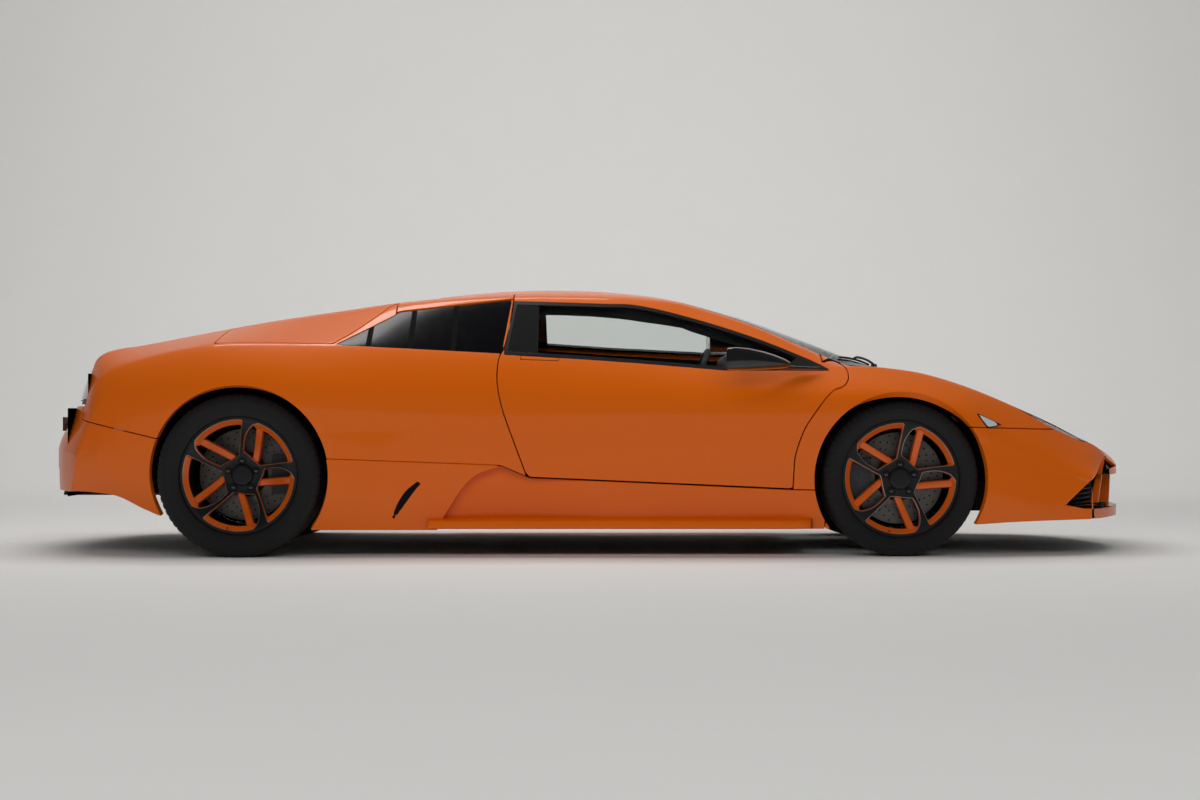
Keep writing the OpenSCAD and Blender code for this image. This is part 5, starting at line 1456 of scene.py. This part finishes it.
lever = revolve([[7, 380], [6, 470], [16, 474], [21, 486], [23, 498], [20, 511], [12, 519], [0.01, 521]], 32)
make("console", [(console, "leather"), (gate, "metal"), (placed(lever, Matrix.Translation((215, 6, 0))), "metal"),
    # gate slots drawn as thin near-black boxes: painted shade
    (joined(*[box_patch((168, y - 5, 385), (270, y + 5, 386), 0) for y in (-32, 6, 40)] + [box_patch((212, -36,
        385), (222, 44, 386), 0)]), "recess"),
    (cushion((-150, 0, 386), (250, 190, 46), 0.3, None, crown=4), "suede"),
    (tube(np.array(smooth_line([(60, 96, 374), (0, 98, 396), (-70, 98, 410), (-120, 98, 406)], 6)), 11, 14),
        "leather")],
    "shell")

# floor mats and bulkhead trim
mats = [box_patch((120, s * 400 - 235, 150), (800, s * 400 + 235, 158), 4) for s in (-1, 1)]
bulk = box_patch((-418, -640, 300), (-398, 640, 735), 6)
make("cabin_carpet", [(q, "carpet") for q in mats] + [(bulk, "suede")], "shell")
pedals = []
for y, w in ((300, 30), (390, 46), (470, 46)):
    pedals.append(placed(box_patch((-6, -w / 2, -45), (6, w / 2, 45), 3), Matrix.Translation((760, y,
        265)) @ Matrix.Rotation(0.5, 4, "Y")))
make("pedals", [(joined(*pedals), "metal")], "shell")
# door cards
card = cut(offset(cut(body(-440, 1000, BELT, LOWER), from_side(door_outline, -16), keep_out(from_side, skirt_outline),
    from_side(window_outline, 5, -1)), 31), plane(0, -330))
arm = cushion((0, 0, 0), (430, 46, 46), 0.3)
for side_name, f in (("right", lambda q: q), ("left", left)):
    y_card = card.p[np.argmin(np.abs(card.p[:, 0] - 150) + np.abs(card.p[:, 2] - 560))][1]
    rest = placed(arm, Matrix.Translation((210, y_card + 16, 560)))
    grip = tube(np.array(smooth_line([(430, y_card + 4, 600), (450, y_card + 26, 604), (520, y_card + 30, 612),
        (590, y_card + 24, 616), (606, y_card + 2, 616)], 5)), 8, 10)
    make("door_card_" + side_name, [(f(turned(card)), "leather"), (f(rest), "suede"), (f(grip), "satin_black")],
        side_name + "_door")

# ---- Steering wheel ----
wheel_axis = Vector((-0.913545, 0, 0.406737))
m = Matrix.Translation((470, 400, 640)) @ wheel_axis.to_track_quat("Z", "X").to_matrix().to_4x4()
up = (m.inverted() @ Vector((470, 400, 740)) - Vector((0, 0, 0)))
base_turn = math.atan2(up.y, up.x)
m = m @ Matrix.Rotation(base_turn, 4, "Z")
rim = []
for a in np.linspace(0, 2 * np.pi, 96, endpoint=False):
    r = 166 - 20 * max(0.0, -math.cos(a) - 0.72) / 0.28
    rim.append([r * math.cos(a), r * math.sin(a), 0])
spokes = []
for a in (95, 265, 180):
    w0, w1 = 30, 15
    q = []
    for t in np.linspace(0, 1, 9):
        r = 36 + (150 - 36) * t
        w = w0 + (w1 - w0) * t + 8 * (2 * t - 1) ** 2
        z = 2 - 8 * math.sin(math.pi * t)
        q.append([[r, -w / 2, z - 5], [r, -w / 2 + 2, z + 3], [r, 0, z + 5], [r, w / 2 - 2, z + 3], [r, w / 2,
            z - 5], [r, -w / 2, z - 5]])
    s = grid_patch(np.array(q))
    if s.n[:, 2].sum() < 0:
        s = turned(s)
    spokes.append(placed(facing(s), Matrix.Rotation(math.radians(a), 4, "Z")))
boss = revolve([[34, -14], [52, -12], [58, -4], [58, 8], [52, 17], [40, 22], [20, 25], [0.01, 26]], 64)
wheel_parts_list = [(placed(tube(np.array(rim), 14, 18, True), m), "leather"), (placed(facing(boss), m), "leather"),
    (joined(*[placed(s, m) for s in spokes]), "satin_black"),
    (placed(revolve([[27, -60], [27, -10]], 32), m), "satin_black")]
wheel_parts_list.append((placed(tube(np.array([[q[0] * 0.918, q[1] * 0.918, 0] for q in rim]), 1.2, 6, True), m),
    "stitch"))
make("steering_wheel_rim", wheel_parts_list, "steering", ["steering_wheel"])
column = placed(facing(revolve([[30, -66], [34, -90], [40, -170], [40, -200]], 40)), m)
stalks = [placed(tube(np.array(smooth_line([(0, s * 30, -90), (2, s * 80, -84), (4, s * 120, -74)], 4)),
    [5.5] * 5 + [7] * 4, 12), m) for s in (-1, 1)]
make("steering_column", [(column, "satin_black")] + [(q, "satin_black") for q in stalks], "shell")


# ---- CAD pieces that show as they are ----
for node, name in {"wheel_liners": "matte_black", "chassis_tub": "matte_black", "suspension_arms": "cast",
        "engine_block": "cast", "cabin_frame": "suede", "plate_holder": "satin_black", "knuckle_front_right": "cast",
        "knuckle_front_left": "cast", "rear_hub_carriers": "cast"}.items():
    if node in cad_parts:
        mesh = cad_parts[node].data
        mesh.materials.clear()
        mesh.materials.append(materials[name])


# ---- Floor, light and camera ----
def stage_material(name, colour, rough):
    m = material(name, colour, rough=rough, spread=0.004, scale=3, rough_spread=0.02)
    return m


def cyclorama():
    stage_material("studio", rgb(243, 242, 239), 0.9)
    bm = bmesh.new()
    line = [(-14.0, 0.0), (7.0, 0.0)]
    for k in range(1, 25):
        a = math.pi / 2 * k / 24
        line.append((7.0 + 6.0 * math.sin(a), 6.0 * (1 - math.cos(a))))
    line.append((13.0, 16.0))
    rows = [[bm.verts.new((x, y, z)) for y, z in line] for x in (-26.0, 26.0)]
    for k in range(len(line) - 1):
        bm.faces.new([rows[0][k], rows[1][k], rows[1][k + 1], rows[0][k + 1]])
    mesh = bpy.data.meshes.new("studio_floor")
    bm.to_mesh(mesh)
    bm.free()
    mesh.materials.append(materials["studio"])
    for f in mesh.polygons:
        f.use_smooth = True
    o = bpy.data.objects.new("studio_floor", mesh)
    bpy.context.scene.collection.objects.link(o)


cyclorama()


def soft_light(name, place, aim, size, power, colour=(1, 1, 1), shine=True):
    data = bpy.data.lights.new(name, "AREA")
    data.shape = "RECTANGLE"
    data.size, data.size_y = size
    data.energy = power
    data.color = colour
    o = bpy.data.objects.new(name, data)
    o.location = place
    o.rotation_euler = (Vector(aim) - Vector(place)).to_track_quat("-Z", "Y").to_euler()
    o.visible_glossy = shine
    bpy.context.scene.collection.objects.link(o)
    return o


soft_light("top_light", (0, 0.3, 5.6), (0, 0, 0), (9.0, 4.0), 200, shine=False)
soft_light("side_fill", (0, -10.0, 5.0), (0, 0, 0.2), (12.0, 3.0), 330, shine=False)
soft_light("wall_light", (0, 6.0, 6.5), (0, 12.5, 2.0), (16.0, 2.0), 385, shine=False)
soft_light("deck_light", (-1.2, 2.2, 5.2), (-1.2, 0, 0.9), (3.2, 0.7), 45)
world = bpy.data.worlds.new("studio_world")
bpy.context.scene.world = world
world.use_nodes = True
world.node_tree.nodes["Background"].inputs["Color"].default_value = rgb(200, 201, 203)
world.node_tree.nodes["Background"].inputs["Strength"].default_value = 0.16

camera = bpy.data.objects.new("camera", bpy.data.cameras.new("camera"))
camera.data.sensor_width = 36.0
camera.data.lens = 71.13
camera.data.shift_y = 0.0108
camera.data.clip_end = 200
camera.location = (0.05, -10.5, 0.58)
camera.rotation_euler = (math.radians(90), 0, 0)
bpy.context.scene.collection.objects.link(camera)
bpy.context.scene.camera = camera
scene = bpy.context.scene
scene.view_settings.view_transform = "Standard"
